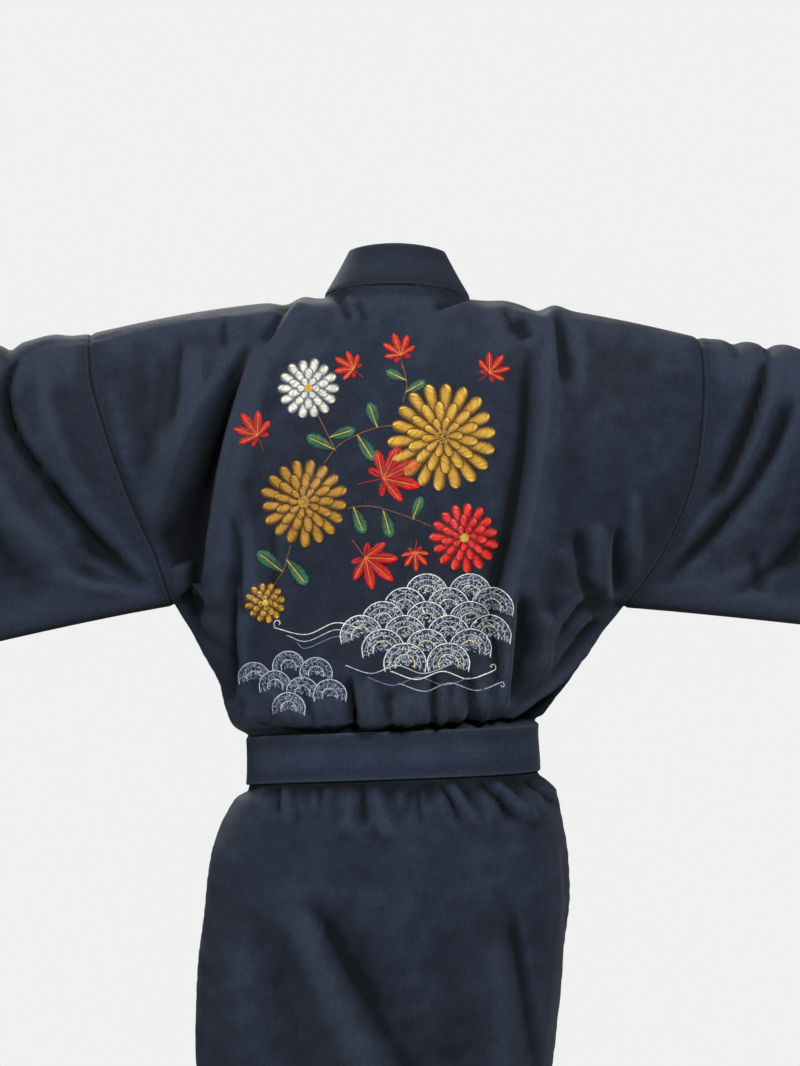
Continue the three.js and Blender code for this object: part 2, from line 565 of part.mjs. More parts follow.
// A closed thin wall: the outer grid, the same grid moved inwards, and a rim round every open edge.
function wallGeometry(piece) {
  const { grid, middles, inward, wall, seamWall = wall, wrap } = piece;
  const [ni, nj] = [grid.length, grid[0].length];
  const outer = drawBack(grid, wrap);
  const positions = [];
  for (const side of [0, 1])
    outer.forEach((line, i) => line.forEach((p, j) => {
      const deep = side * (j === 0 ? seamWall : wall);
      positions.push(...p.clone().addScaledVector(inward[i][j], deep).toArray());
    }));
  const outerAt = (i, j) => i * nj + (j % nj);
  const innerAt = (i, j) => ni * nj + outerAt(i, j);
  const index = [];
  const quad = (a, b, c, d) => index.push(a, b, c, a, c, d);
  const lastJ = wrap ? nj : nj - 1;
  for (let i = 0; i < ni - 1; i++)
    for (let j = 0; j < lastJ; j++) {
      const corners = [[i, j], [i + 1, j], [i + 1, j + 1], [i, j + 1]];
      if (middles && secondDiagonalFits(corners.map(([a, b]) => grid[a][b % nj]), middles[i][j]))
        corners.push(corners.shift());
      const [a, b, c, d] = corners;
      quad(outerAt(...a), outerAt(...b), outerAt(...c), outerAt(...d));
      quad(innerAt(...a), innerAt(...d), innerAt(...c), innerAt(...b));
    }
  for (let j = 0; j < lastJ; j++) {
    quad(outerAt(0, j), outerAt(0, j + 1), innerAt(0, j + 1), innerAt(0, j));
    quad(outerAt(ni - 1, j), innerAt(ni - 1, j), innerAt(ni - 1, j + 1), outerAt(ni - 1, j + 1));
  }
  if (!wrap)
    for (let i = 0; i < ni - 1; i++) {
      quad(outerAt(i, 0), innerAt(i, 0), innerAt(i + 1, 0), outerAt(i + 1, 0));
      quad(outerAt(i, nj - 1), outerAt(i + 1, nj - 1), innerAt(i + 1, nj - 1), innerAt(i, nj - 1));
    }
  if (signedVolume(positions, index) < 0)
    for (let k = 0; k < index.length; k += 3) [index[k + 1], index[k + 2]] = [index[k + 2], index[k + 1]];
  const geometry = new THREE.BufferGeometry();
  geometry.setAttribute("position", new THREE.Float32BufferAttribute(positions, 3));
  geometry.setIndex(index);
  geometry.computeVertexNormals();
  return geometry;
}

function signedVolume(positions, index) {
  const at = (k) => new THREE.Vector3().fromArray(positions, 3 * index[k]);
  let sum = 0;
  for (let k = 0; k < index.length; k += 3) sum += at(k).dot(at(k + 1).cross(at(k + 2)));
  return sum / 6;
}

function cloth(name, geometry, roughness) {
  const material = new THREE.MeshStandardMaterial({ color: BLACK, roughness, metalness: 0 });
  const mesh = new THREE.Mesh(geometry, material);
  mesh.name = name;
  return mesh;
}

// Away from the upright axis of the body, or of the arm.
const fromBody = (p) => new THREE.Vector3(p.x * 0.2, p.y, 0);
const fromArm = (p) => new THREE.Vector3(0, p.y, p.z + 150);

function buildRobe() {
  const robe = new THREE.Group();
  const back = layBack();
  const fronts = [layFront(LEFT), layFront(RIGHT)];
  const collar = { grid: collarGrid(back.grid, fronts.map((front) => front.grid)) };
  const sewn = [
    { name: "back", ...back, wall: CLOTH, outward: fromBody },
    { name: "front_left", ...fronts[0], wall: CLOTH, outward: fromBody },
    { name: "front_right", ...fronts[1], wall: CLOTH, outward: fromBody },
    { name: "sleeve_left", ...laySleeve(LEFT), wall: CLOTH, outward: fromArm },
    { name: "sleeve_right", ...laySleeve(RIGHT), wall: CLOTH, outward: fromArm },
    { name: "collar", ...collar, wall: BAND, seamWall: CLOTH, outward: fromBody },
  ];
  const belt = { name: "belt", grid: beltGrid(), wall: BELT.wall, wrap: true, outward: fromBody };
  const ends = ENDS.map((end) => ({
    name: end.name,
    grid: beltEndGrid(end),
    wall: BELT.wall,
    outward: fromBody,
  }));
  const loose = [belt, ...ends];
  for (const piece of [...sewn, ...loose])
    piece.normals = gridNormals(piece.grid, piece.wrap, piece.outward);
  shareSeams(sewn);
  loose.forEach((piece) => shareSeams([piece]));
  for (const piece of sewn) robe.add(cloth(piece.name, wallGeometry(piece), COAT_ROUGHNESS));
  for (const piece of loose) robe.add(cloth(piece.name, wallGeometry(piece), BELT_ROUGHNESS));
  robe.add(cloth("belt_knot", knotGeometry(), BELT_ROUGHNESS));
  return robe;
}

export default buildRobe();
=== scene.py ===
import math
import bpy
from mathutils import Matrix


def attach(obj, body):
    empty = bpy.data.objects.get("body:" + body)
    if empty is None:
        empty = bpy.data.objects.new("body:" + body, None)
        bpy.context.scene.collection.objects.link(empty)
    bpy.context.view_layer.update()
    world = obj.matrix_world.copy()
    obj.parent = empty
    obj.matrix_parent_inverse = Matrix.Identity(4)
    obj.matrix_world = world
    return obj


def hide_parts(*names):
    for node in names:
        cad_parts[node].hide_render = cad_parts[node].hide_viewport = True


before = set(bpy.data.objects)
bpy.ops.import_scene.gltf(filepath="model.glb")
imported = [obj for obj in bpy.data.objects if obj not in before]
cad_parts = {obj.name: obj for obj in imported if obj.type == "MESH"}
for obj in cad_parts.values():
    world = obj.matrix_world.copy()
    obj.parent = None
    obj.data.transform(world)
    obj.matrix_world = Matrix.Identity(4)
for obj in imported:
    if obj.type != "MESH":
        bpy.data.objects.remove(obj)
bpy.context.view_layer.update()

from types import SimpleNamespace

import bmesh
import bpy
import numpy as np
from mathutils import Vector
from mathutils.bvhtree import BVHTree

# A short black cotton robe of the happi kind, worn and seen from behind.
# The form is worked out in millimetres in the frame's own axes, and every mesh is made in metres.
MM = 0.001
GRID_STEP = 4.2

# Camera: level, straight at the back
FRAME_WIDTH_PIXELS = 800
PIXEL = 1.05 * MM
CAMERA_AWAY = 3.2
LOOKS_AT = Vector((-0.003, 0, -0.248))
SENSOR = 36


def add_object(name, data):
    obj = bpy.data.objects.new(name, data)
    bpy.context.collection.objects.link(obj)
    return obj


def aim(name, data, place):
    """A camera or a light at a place, turned towards the middle of the view."""
    obj = add_object(name, data)
    obj.location = place
    obj.rotation_euler = (LOOKS_AT - obj.location).to_track_quat("-Z", "Y").to_euler()
    return obj


def make_camera():
    data = bpy.data.cameras.new("camera")
    data.sensor_fit = "HORIZONTAL"
    data.sensor_width = SENSOR
    data.lens = SENSOR * CAMERA_AWAY / (FRAME_WIDTH_PIXELS * PIXEL)
    bpy.context.scene.camera = aim("camera", data, LOOKS_AT + Vector((0, CAMERA_AWAY, 0)))


make_camera()

# Driving sizes
CLOTH = 0.9
BAND = 2.4
NECK = SimpleNamespace(half_width=76, depth=70, rise=8, fade=3.2)
COLLAR = SimpleNamespace(width=56, widening=1.04, side_lean=0.48, back_lean=0.64, forward=0.12,
                         standing=0.6, lying=3.4)
LAP = SimpleNamespace(over=3, under=6, starts=1.6, full=3.6, side=0.8)
CUFF = SimpleNamespace(reach=690, top_left=-87, top_right=-91, foot_left=-418, foot_right=-370,
                       slant=22, fullness=0.92, foot_fullness=1.15, sag=0.15)
BELT = SimpleNamespace(height=47, wall=2.4, clear=1, rows=(2.0, 9.2, 16.3, 23.5, 30.7, 37.8, 45.0))
KNOT = SimpleNamespace(x=-6, height=54, deep=17)
BELT_END = SimpleNamespace(width=47, neck=0.44, opens=0.2, clear=7, settles=0.35, ripple=1.2, sway=0.7,
                           crease=1.6, crease_wide=5, curl=9)
SEAM = SimpleNamespace(deep=1.3, wide=2.6, pucker=0.55, pucker_length=17, pucker_reach=16, step=0.9,
                       proud_reach=22)
HEM = SimpleNamespace(width=24, rise=0.7, sunk=0.45, row=21.5, row_wide=1.6, waver=0.35, waver_reach=14)

BACK, FRONT = 1, -1
LEFT, RIGHT = 1, -1


def table(columns, rows, **defaults):
    """Rows under named columns, given as lists or as a text with a row of numbers in each line."""
    if isinstance(rows, str):
        rows = [[float(number) for number in line.split()] for line in rows.strip().splitlines()]
    return [SimpleNamespace(**{**defaults, **dict(zip(columns.split(), row))}) for row in rows]


def mix(a, b, t):
    return a + (b - a) * t


def ease(t):
    t = np.clip(t, 0, 1)
    return t * t * (3 - 2 * t)


def ease_between(low, high, t):
    return ease((t - low) / (high - low))


def bell(value, middle, wide):
    return np.exp(-(((value - middle) / wide) ** 2))


def heading(angle):
    return np.array([math.cos(angle), math.sin(angle)])


def unit(vectors):
    return vectors / np.maximum(np.linalg.norm(vectors, axis=-1, keepdims=True), 1e-9)


# The body from the shoulder ridge down to the hem, one row for each level.
# turn is 0 where a level runs on into the sleeves and 1 where it closes round the body,
# seam is its depth at the armhole, and edge is where the left front is sewn to the collar band.
LEVEL_COLUMNS = "height tilt bow width shift turn back back_half front front_half seam edge"
LEVEL_ROWS = table(LEVEL_COLUMNS, """
0 2 -41 318 3 0 0 0 0 0 0 76
-8 1.5 -47 318 2 0 46 36 40 33 34 76.5
-40 1.5 -48 317 0 0 82 64 63 54 48 78
-95 1 -46 309 -6 0 106 88 82 72 46 74
-160 0 -40 294 -11 0 116 101 98 86 39 58
-228 0 -34 268 -12 0 119 104 108 94 27 36
-296 1 -29 236 -2 0.25 119 99 112 93 0 10
-330 0 -22 217 0 0.6 118 93 112 88 0 -4
-362 0 -15 201 2 0.85 118 90 112 85 0 -17
-394 0 -8 185 3 1 120 92 113 86 0 -30
-422 -2 -4 173 8 1 123 94 116 88 0 -43
-442 -5 -3 162 10 1 119 90 114 86 0 -52
-449 -8 -5.5 150 5 1 98 74 100 76 0 -55
-500 -8 -5.5 151 4 1 98 74 100 76 0 -64
-524 -4 0 169 2 1 107 81 105 80 0 -66
-548 -2 0 178 5 1 115 87 108 82 0 -68
-590 0 0 188 8 1 123 94 111 85 0 -71
-635 0 0 191 10 1 127 98 112 87 0 -74
-700 0 0 191 18 1 127 99 113 88 0 -77
-770 0 0 189 22 1 124 98 114 89 0 -80
-840 0 0 183 25 1 121 96 115 90 0 -83
-900 0 0 179 27 1 119 95 116 91 0 -85
""")
LEVELS = {name: np.array([getattr(row, name) for row in LEVEL_ROWS]) for name in LEVEL_COLUMNS.split()}
DEPTH_COLUMNS = ("back", "back_half", "front", "front_half", "seam")
UNDERARM_LEVEL = 6
LAST_ARM_LEVEL = 5
BELT_TOP_LEVEL = 12
BELT_FOOT_LEVEL = 13
HEM_LEVEL = len(LEVEL_ROWS) - 1
SLEEVE_FOOT_POWER = 2.2
SLEEVE_TURN = 2 * UNDERARM_LEVEL

# Small steps of the cloth along the shoulder ridge
RIDGE_STEPS = table("across wide rise", """
118 12 -4
98 10 3
-146 12 -5
-166 12 4
-112 12 2
""")
SLEEVE_STEPS = table("across wide rise", """
363 20 4
405 8 -7
438 16 3
-332 10 2
-352 6 -3
-370 10 2
-387 5 -4
-408 14 4
""")

# Folds and creases as soft ridges (height above 0) or troughs (below 0) along a bent line.
# wide1 and wide3 are half widths at its two ends, open is the share of it left at the far end,
# lean widens one flank and narrows the other, and a sharp below 2 gives a crisper crest.
FOLD_COLUMNS = "x1 z1 x2 z2 x3 z3 wide1 wide3 height open lean sharp"
FOLD_STEPS = 16
FOLD_FADE = 0.25
FOLD_REACH = 2.8
FOLD_STEEPEST = 2.4
BACK_FOLDS = table(FOLD_COLUMNS, """
146 -42 211 -163 236 -322 3.5 29 -36 0.75 0.1 3
64 -1 57 -14 46 -34 3.5 6 -6 0 -0.4 1.5
52 -2 48 -18 38 -34 4 6 3 0
43 -8 40 -20 32 -34 3 4.5 -4 0 -0.4 1.5
-78 -2 -62 -9 -34 -20 3.5 6 -6 0 0.4 1.5
128 -40 164 -150 186 -325 10 13 9 0.2
145 -58 174 -150 202 -300 4.4 5.5 6 0.2 0.4 1.6
180 -84 222 -152 258 -262 6 8 6 0 -0.3 1.7
104 -3 122 -20 138 -60 3 6 -9 0 0.55 1.5
96 -4 112 -26 122 -66 6 8 5 0
176 -24 182 -38 174 -58 3 4 -5 0 0.5 1.5
214 -50 210 -108 236 -225 13 16 6 0
201 -62 204 -130 232 -240 6 9 4 0 0.3 1.6
223 -44 221 -90 232 -150 5 8 -4 0 0.6 1.6
240 -60 244 -110 262 -190 8 11 -2.5 0 0 1.6
262 -60 266 -130 262 -225 12 15 -3 0
300 -80 292 -160 268 -245 12 14 3.5 0
170 -215 160 -280 152 -350 4 6 -5 0 0.5 1.6
158 -200 148 -280 144 -350 7 8 3.5 0
128 -230 122 -290 126 -350 5 7 -3 0 0.4 1.6
-137 -50 -144 -160 -98 -340 4.5 8 -16 1 0.72 1.7
-122 -45 -128 -150 -90 -330 15 16 -4 1
-149 -50 -156 -158 -110 -325 6 8 9 1 -0.4 1.6
-128 -20 -130 -34 -135 -50 7 9 -9 0 0 2.4
-158 -45 -166 -160 -134 -330 14 18 6 1
-110 -12 -118 -26 -122 -46 4 6 -5 0 0 1.5
-164 -12 -169 -50 -166 -104 4 8 -8 0 -0.65 1.6
-157 -14 -160 -45 -158 -90 5 7 4 0
-188 -26 -192 -70 -186 -125 8 10 2.5 0
-229 -238 -228 -275 -237 -320 3.5 10 -15 0.5 0 2.4
-182 -240 -184 -285 -200 -326 8 10 -9 0.5 -0.5 1.7
-206 -230 -206 -280 -214 -320 7 8 8 0.3 0 1.6
-244 -200 -248 -240 -242 -290 6 7 5 0
-200 -318 -182 -336 -166 -358 4 6 -7 0 0.3 1.5
-190 -312 -172 -330 -154 -352 6 8 4 0
34 -464 -40 -452 -170 -440 7 22 -15 1
158 -440 120 -450 60 -456 3 6 -7 0 0 1.6
-98 -332 -105 -370 -106 -406 4.5 4 -9 0 0.6 1.6
-107 -300 -118 -380 -102 -452 4.5 6 9 0 -0.2 1.6
-120 -302 -134 -365 -117 -432 7 13 -18 0 -0.55 2
-150 -322 -158 -360 -150 -400 7 9 7 0 0.3
-224 -336 -172 -396 -112 -450 7 6 11 0 -0.4 1.6
-206 -384 -166 -420 -136 -450 5 6 -12 0 0.5 1.5
-214 -330 -192 -372 -168 -392 6 8 -7 0 0.3 1.6
-178 -402 -162 -424 -150 -450 4 5 -8 0 0 1.4
-86 -396 -88 -425 -92 -456 3 4.5 10 0 -0.3 1.5
-76 -386 -78 -418 -80 -452 4 6 -10 0 0.5 1.4
-60 -392 -62 -420 -64 -452 5 7 6 0 -0.3 1.6
-44 -394 -45 -424 -46 -456 3 4 9 0 -0.4 1.5
-36 -384 -35 -418 -36 -452 3.5 5 -10 0 -0.4 1.4
166 -268 168 -350 173 -432 7 10 -9 0 0.6 1.7
154 -268 155 -350 158 -430 6 8 4 0
140 -400 120 -430 84 -444 10 12 5 0
48 -388 44 -420 40 -458 3 8 -15 1 0.6 1.6
30 -390 26 -420 25 -456 6 8 8 0 -0.3 1.6
100 -396 88 -428 84 -452 3 5 -4 0 0 1.5
-8 -408 -10 -430 -14 -456 3 5 6 0 -0.3 1.5
6 -404 5 -430 2 -454 3 5 -7 0 0.5 1.5
122 -500 123 -515 121 -540 3 3.4 -9 0 0.4 1.4
114 -504 112 -526 110 -548 4 6 4 0
134 -504 138 -524 142 -546 4 6 3 0
35 -498 33 -515 30 -548 3 4 -12 0 0.4 1.4
24 -504 20 -530 8 -562 4 8 6 0 -0.3
47 -504 48 -530 52 -556 5 8 4 0
-44 -501 -52 -516 -70 -544 2.2 3.8 -9 0 0.5 1.4
-54 -500 -64 -516 -88 -548 3.2 5.4 6 0 0.3
-84 -500 -100 -515 -132 -548 2.4 4.2 -11 0 0.5 1.4
-96 -499 -116 -515 -150 -546 3.2 5 7 0 0.3
-124 -497 -144 -510 -174 -534 2.4 4.2 -11 0 0.5 1.4
-136 -496 -156 -508 -182 -526 3.2 4.6 6 0
-22 -506 -21 -524 -26 -546 2.4 3.6 -4 0 0.3 1.3
77 -506 78 -522 83 -542 2.4 3.6 -4 0 0.3 1.3
96 -610 40 -690 -52 -860 13 40 -12 1 -0.5
110 -620 70 -720 -6 -870 14 22 8 1
146 -610 122 -730 70 -870 20 26 -6 1
-116 -620 -134 -720 -152 -850 7 14 -7 1 0.4
-96 -640 -112 -730 -112 -860 14 22 6 1
-40 -640 -70 -760 -76 -870 20 30 -6 1
-172 -566 -180 -640 -176 -760 5 7 -4 0 -0.5 1.7
150 -640 160 -740 150 -880 22 26 5 1
""", lean=0, sharp=2)
FRONT_FOLDS = table(FOLD_COLUMNS, """
150 -44 192 -160 228 -316 3 17 -28 0.5 0.25 2.6
132 -36 168 -150 196 -318 12 16 9 1
176 -110 206 -190 226 -290 5 7 6 0 -0.4 1.6
112 -30 128 -70 138 -130 4 7 -5 0 0.5 1.6
232 -60 240 -120 252 -205 9 12 5 0
212 -52 214 -90 222 -150 5 8 -5 0 0.5 1.6
270 -70 276 -130 262 -210 9 11 -3 0
-124 -44 -168 -168 -226 -318 3 14 -22 0.5 -0.35 2.2
-140 -30 -190 -140 -214 -300 11 13 8 1
-112 -60 -140 -180 -186 -318 9 12 6 1
-182 -50 -196 -90 -200 -140 4 7 -6 0 0.4 1.5
-238 -66 -246 -140 -250 -225 9 12 4 0
-268 -70 -262 -150 -256 -240 8 9 -4 0 0.4 1.6
168 -128 112 -290 34 -440 14 12 7 0
140 -150 84 -300 14 -446 9 9 -8 0 -0.4 1.8
196 -256 140 -350 84 -448 6 7 -7 0 -0.4 1.6
208 -300 164 -380 112 -448 6 7 6 0
208 -352 172 -398 128 -446 6 8 -10 0 -0.4 1.5
-150 -130 -132 -290 -104 -438 14 11 7 0
-196 -290 -158 -372 -122 -448 6 7 -7 0 0.4 1.6
-206 -352 -168 -398 -132 -446 6 8 -10 0 0.4 1.5
74 -392 70 -420 68 -454 3 5 -9 0 0.5 1.5
84 -388 82 -420 80 -452 5 7 6 0
104 -400 100 -426 98 -454 3 5 -7 0 0.4 1.5
-32 -392 -32 -424 -34 -454 3 5 -9 0 -0.5 1.5
-44 -388 -46 -420 -46 -452 5 7 6 0
-70 -404 -70 -428 -72 -454 3 4.5 -7 0 0.4 1.5
96 -504 99 -526 106 -566 3 5 -10 0 0.5 1.5
84 -504 84 -530 88 -560 5 8 5 0
52 -504 50 -526 44 -556 2.6 4 -8 0 0.4 1.5
134 -504 140 -524 152 -548 3 4.5 -8 0 0.4 1.5
-58 -504 -62 -524 -70 -560 3 4.6 -9 0 -0.5 1.5
-112 -504 -118 -526 -128 -558 3 4.6 -9 0 -0.5 1.5
-98 -504 -102 -530 -106 -556 5 7 5 0
126 -600 100 -720 84 -880 16 26 -5 0 -0.3
152 -640 136 -740 120 -890 20 24 5 1
-60 -640 -76 -740 -70 -880 16 22 4 1
60 -580 30 -700 10 -860 16 24 4 0
-128 -620 -136 -700 -130 -850 16 22 -4 0
""", lean=0, sharp=2)
SLEEVE_BACK_FOLDS = table(FOLD_COLUMNS, """
318 -46 372 -44 398 -72 4 4.2 -9 0 0.2 1.6
384 -54 428 -112 372 -178 4.2 5.5 -12 1 0.35 1.7
376 -170 322 -254 250 -312 5.5 8 -13 1 0.35 1.7
398 -66 420 -170 262 -308 16 18 -5 0 0.3
436 -70 462 -210 300 -326 18 20 9 0
362 -60 384 -130 300 -240 9 12 6 0 0 1.6
470 -90 470 -200 380 -300 8 11 -5 0 0.2 1.6
340 -250 300 -282 262 -300 6 6 -5 0 0 1.5
360 -290 320 -306 282 -314 7 7 4 0
530 -80 520 -190 470 -340 18 22 -10 0
560 -120 556 -220 520 -350 10 13 5 0
600 -90 610 -210 570 -370 18 22 9 0
640 -110 636 -230 616 -390 10 14 -6 0
-386 -50 -380 -140 -320 -242 4 12 -21 0 0.62 1.9
-366 -70 -346 -160 -292 -262 16 18 -3 0
-394 -76 -376 -190 -242 -322 7 7 12 0 0 1.7
-418 -66 -410 -170 -326 -290 16 18 6 0
-412 -92 -392 -215 -244 -320 6.5 8.5 -13 0 0.25 1.8
-350 -48 -352 -56 -354 -70 4 5 -6 0 0.4 1.6
-348 -206 -310 -268 -256 -316 13 11 -6 0
-340 -130 -318 -190 -292 -244 8 9 4 0
-474 -90 -456 -190 -384 -326 18 22 -8 0
-440 -230 -400 -290 -330 -322 8 8 -6 0 0 1.6
-369 -262 -376 -290 -380 -318 6 7 -4 0
-510 -95 -500 -210 -440 -340 18 22 9 0
-590 -95 -580 -210 -540 -350 18 22 -10 0
-640 -100 -638 -210 -606 -360 18 22 8 0
""", lean=0, sharp=2)
SLEEVE_FRONT_FOLDS = table(FOLD_COLUMNS, """
382 -60 404 -150 262 -302 5 9 -16 0 0.4 1.8
404 -80 430 -180 290 -318 14 16 9 0
356 -70 366 -150 282 -262 10 12 6 0
340 -150 322 -210 276 -270 4 6 -6 0 0.4 1.6
452 -90 446 -200 350 -318 7 11 -9 0 0.4 1.8
490 -100 494 -220 400 -330 16 18 7 0
540 -90 530 -210 470 -350 12 18 -8 0 0.3
590 -120 596 -230 560 -370 14 18 7 0
640 -110 634 -240 612 -390 9 12 -5 0
-392 -58 -398 -130 -330 -230 4 8 -14 0 -0.4 1.8
-372 -66 -366 -150 -290 -270 10 12 7 0
-420 -80 -420 -190 -300 -306 13 15 9 0
-404 -150 -364 -240 -256 -312 6 8 -12 0 -0.35 1.8
-470 -90 -462 -190 -390 -320 8 12 -8 0 -0.3 1.8
-516 -95 -506 -210 -440 -336 16 20 8 0
-560 -110 -556 -210 -520 -330 12 16 -7 0
-612 -100 -604 -210 -570 -350 14 18 7 0
-648 -110 -644 -220 -622 -350 8 11 -5 0
""", lean=0, sharp=2)

# Families of small creases, each laid out by its own loop.
# SPREADS says how wide the fan at an underarm opens each way, and how far it is turned up.
ALONG_SLEEVE, OVER_BODY = 1, -1
UNDERARM = SimpleNamespace(x=238, z=-322, rays=9, first=-2.3, last=1.15, starts=14, short=36, long=105,
                           bend=6, low=1.2, high=3, wide1=4, wide3=8)
SPREADS = {OVER_BODY: (0.7, 0), ALONG_SLEEVE: (0.55, 0.55)}
WAIST = SimpleNamespace(count=26, reach=168, above=-449, below=-508, short=12, long=42, spread=0.35, low=1,
                        high=3.4, thin=2.4, thick=4.2, widening=1.5)
CREASE_SHARP = 1.6


def underarm_creases(side, way, seed):
    """Short creases that fan out from one underarm, along the sleeve or over the body."""
    rng = np.random.default_rng(seed)
    spread, rise = SPREADS[way]
    rows = []
    for k in range(UNDERARM.rays):
        angle = spread * mix(UNDERARM.first, UNDERARM.last, (k + rng.uniform(0.1, 0.9)) / UNDERARM.rays)
        length = rng.uniform(UNDERARM.short, UNDERARM.long)
        direction = heading(angle) * [side * way, 1] + [0, rise]
        start = [side * UNDERARM.x, UNDERARM.z] + UNDERARM.starts * direction
        end = start + length * direction
        middle = (start + end) / 2 + [rng.uniform(-UNDERARM.bend, UNDERARM.bend), 0]
        height = rng.uniform(UNDERARM.low, UNDERARM.high) * (-1 if k % 2 else 1)
        rows.append([*start, *middle, *end, UNDERARM.wide1, UNDERARM.wide3, height, 0, 0, CREASE_SHARP])
    return table(FOLD_COLUMNS, rows)


def both_underarms(way, seed):
    return underarm_creases(LEFT, way, seed) + underarm_creases(RIGHT, way, seed + 1)


def waist_creases(seed):
    """Small gathers that the belt pulls into the cloth above and below it."""
    rng = np.random.default_rng(seed)
    rows = []
    for k in range(WAIST.count):
        x = mix(-WAIST.reach, WAIST.reach, (k + rng.uniform(0, 1)) / WAIST.count)
        for start, way in ((WAIST.above, 1), (WAIST.below, -1)):
            length = rng.uniform(WAIST.short, WAIST.long)
            spread = rng.uniform(-WAIST.spread, WAIST.spread) * length
            height = rng.uniform(WAIST.low, WAIST.high) * rng.choice([-1, 1])
            wide = rng.uniform(WAIST.thin, WAIST.thick)
            end = start + way * length
            rows.append([x, start, x + spread / 3, (start + end) / 2, x + spread, end, wide,
                         wide * WAIST.widening, height, 0, 0, CREASE_SHARP])
    return table(FOLD_COLUMNS, rows)


BODY_CREASES = {BACK: BACK_FOLDS + waist_creases(3) + both_underarms(OVER_BODY, 5),
                FRONT: FRONT_FOLDS + waist_creases(7) + both_underarms(OVER_BODY, 8)}
SLEEVE_BACK_CREASES = SLEEVE_BACK_FOLDS + both_underarms(ALONG_SLEEVE, 10)
SLEEVE_FRONT_CREASES = SLEEVE_FRONT_FOLDS + both_underarms(ALONG_SLEEVE, 12)

# Slight unevenness of soft cotton: long low swells and finer ripples, each a sum of waves
SWELL = SimpleNamespace(waves=14, shortest=70, longest=170, height=1.5, bend=0.7)
RIPPLE = SimpleNamespace(waves=22, shortest=17, longest=42, height=0.42, bend=1.1)


def unevenness(x, z, seed):
    rng = np.random.default_rng(seed)
    total = np.zeros_like(x)
    for kind in (SWELL, RIPPLE):
        for _ in range(kind.waves):
            length = rng.uniform(kind.shortest, kind.longest)
            turn = rng.uniform(0, math.pi)
            start, other = rng.uniform(0, 2 * math.pi, 2)
            along = (x * math.cos(turn) + z * math.sin(turn)) * 2 * math.pi / length
            across = (z * math.cos(turn) - x * math.sin(turn)) * math.pi / length
            wave = np.sin(along + start + kind.bend * np.sin(across + other))
            total += kind.height / math.sqrt(kind.waves) * wave
    return total


def find_slopes(name, values):
    """Slopes of a level column that never overshoot its rows."""
    steps = np.diff(values)
    before = np.append(steps[0] if name in DEPTH_COLUMNS else 0, steps)
    after = np.append(steps, steps[-1])
    same_way = before * after > 0
    return np.where(same_way, 2 * before * after / np.where(same_way, before + after, 1), 0)


LEVEL_SLOPES = {name: find_slopes(name, values) for name, values in LEVELS.items()}


def at_level(name, level):
    values, tangents = LEVELS[name], LEVEL_SLOPES[name]
    i = np.clip(np.floor(level).astype(int), 0, HEM_LEVEL - 1)
    t = level - i
    t2, t3 = t ** 2, t ** 3
    value = ((2 * t3 - 3 * t2 + 1) * values[i] + (t3 - 2 * t2 + t) * tangents[i]
             + (3 * t2 - 2 * t3) * values[i + 1] + (t3 - t2) * tangents[i + 1])
    if name != "seam":
        return value
    past = np.clip(level - LAST_ARM_LEVEL, 0, 1)
    closing = LEVELS["seam"][LAST_ARM_LEVEL] * np.sqrt(1 - past ** SLEEVE_FOOT_POWER)
    return np.where(level > LAST_ARM_LEVEL, closing, value)


def fold_height(fold, x, z):
    """Height of one fold at places seen from behind or from in front."""
    t = np.linspace(0, 1, FOLD_STEPS + 1)
    line_x = (1 - t) ** 2 * fold.x1 + 2 * t * (1 - t) * fold.x2 + t * t * fold.x3
    line_z = (1 - t) ** 2 * fold.z1 + 2 * t * (1 - t) * fold.z2 + t * t * fold.z3
    reach = FOLD_REACH * max(fold.wide1, fold.wide3)
    near = (x > line_x.min() - reach) & (x < line_x.max() + reach)
    near &= (z > line_z.min() - reach) & (z < line_z.max() + reach)
    height = np.zeros_like(x)
    if not near.any():
        return height
    step_x, step_z = np.diff(line_x), np.diff(line_z)
    from_x = x[near][:, None] - line_x[:-1]
    from_z = z[near][:, None] - line_z[:-1]
    along = np.clip((from_x * step_x + from_z * step_z) / (step_x ** 2 + step_z ** 2), 0, 1)
    distance = np.hypot(from_x - along * step_x, from_z - along * step_z)
    nearest = distance.argmin(axis=1)[:, None]

    def pick(values):
        return np.take_along_axis(values, nearest, axis=1)[:, 0]

    side = np.sign(pick(step_x * from_z - step_z * from_x))
    t = (nearest[:, 0] + pick(along)) / FOLD_STEPS
    plain_wide = mix(fold.wide1, fold.wide3, t)
    wide = plain_wide * (1 + fold.lean * side)
    fade = ease(t / FOLD_FADE) * mix(ease((1 - t) / FOLD_FADE), 1, fold.open)
    full = np.clip(fold.height, -FOLD_STEEPEST * plain_wide, FOLD_STEEPEST * plain_wide)
    height[near] = full * fade * np.exp(-((pick(distance) / wide) ** fold.sharp))
    return height


def folds_at(folds, x, z):
    return sum(fold_height(fold, x, z) for fold in folds)


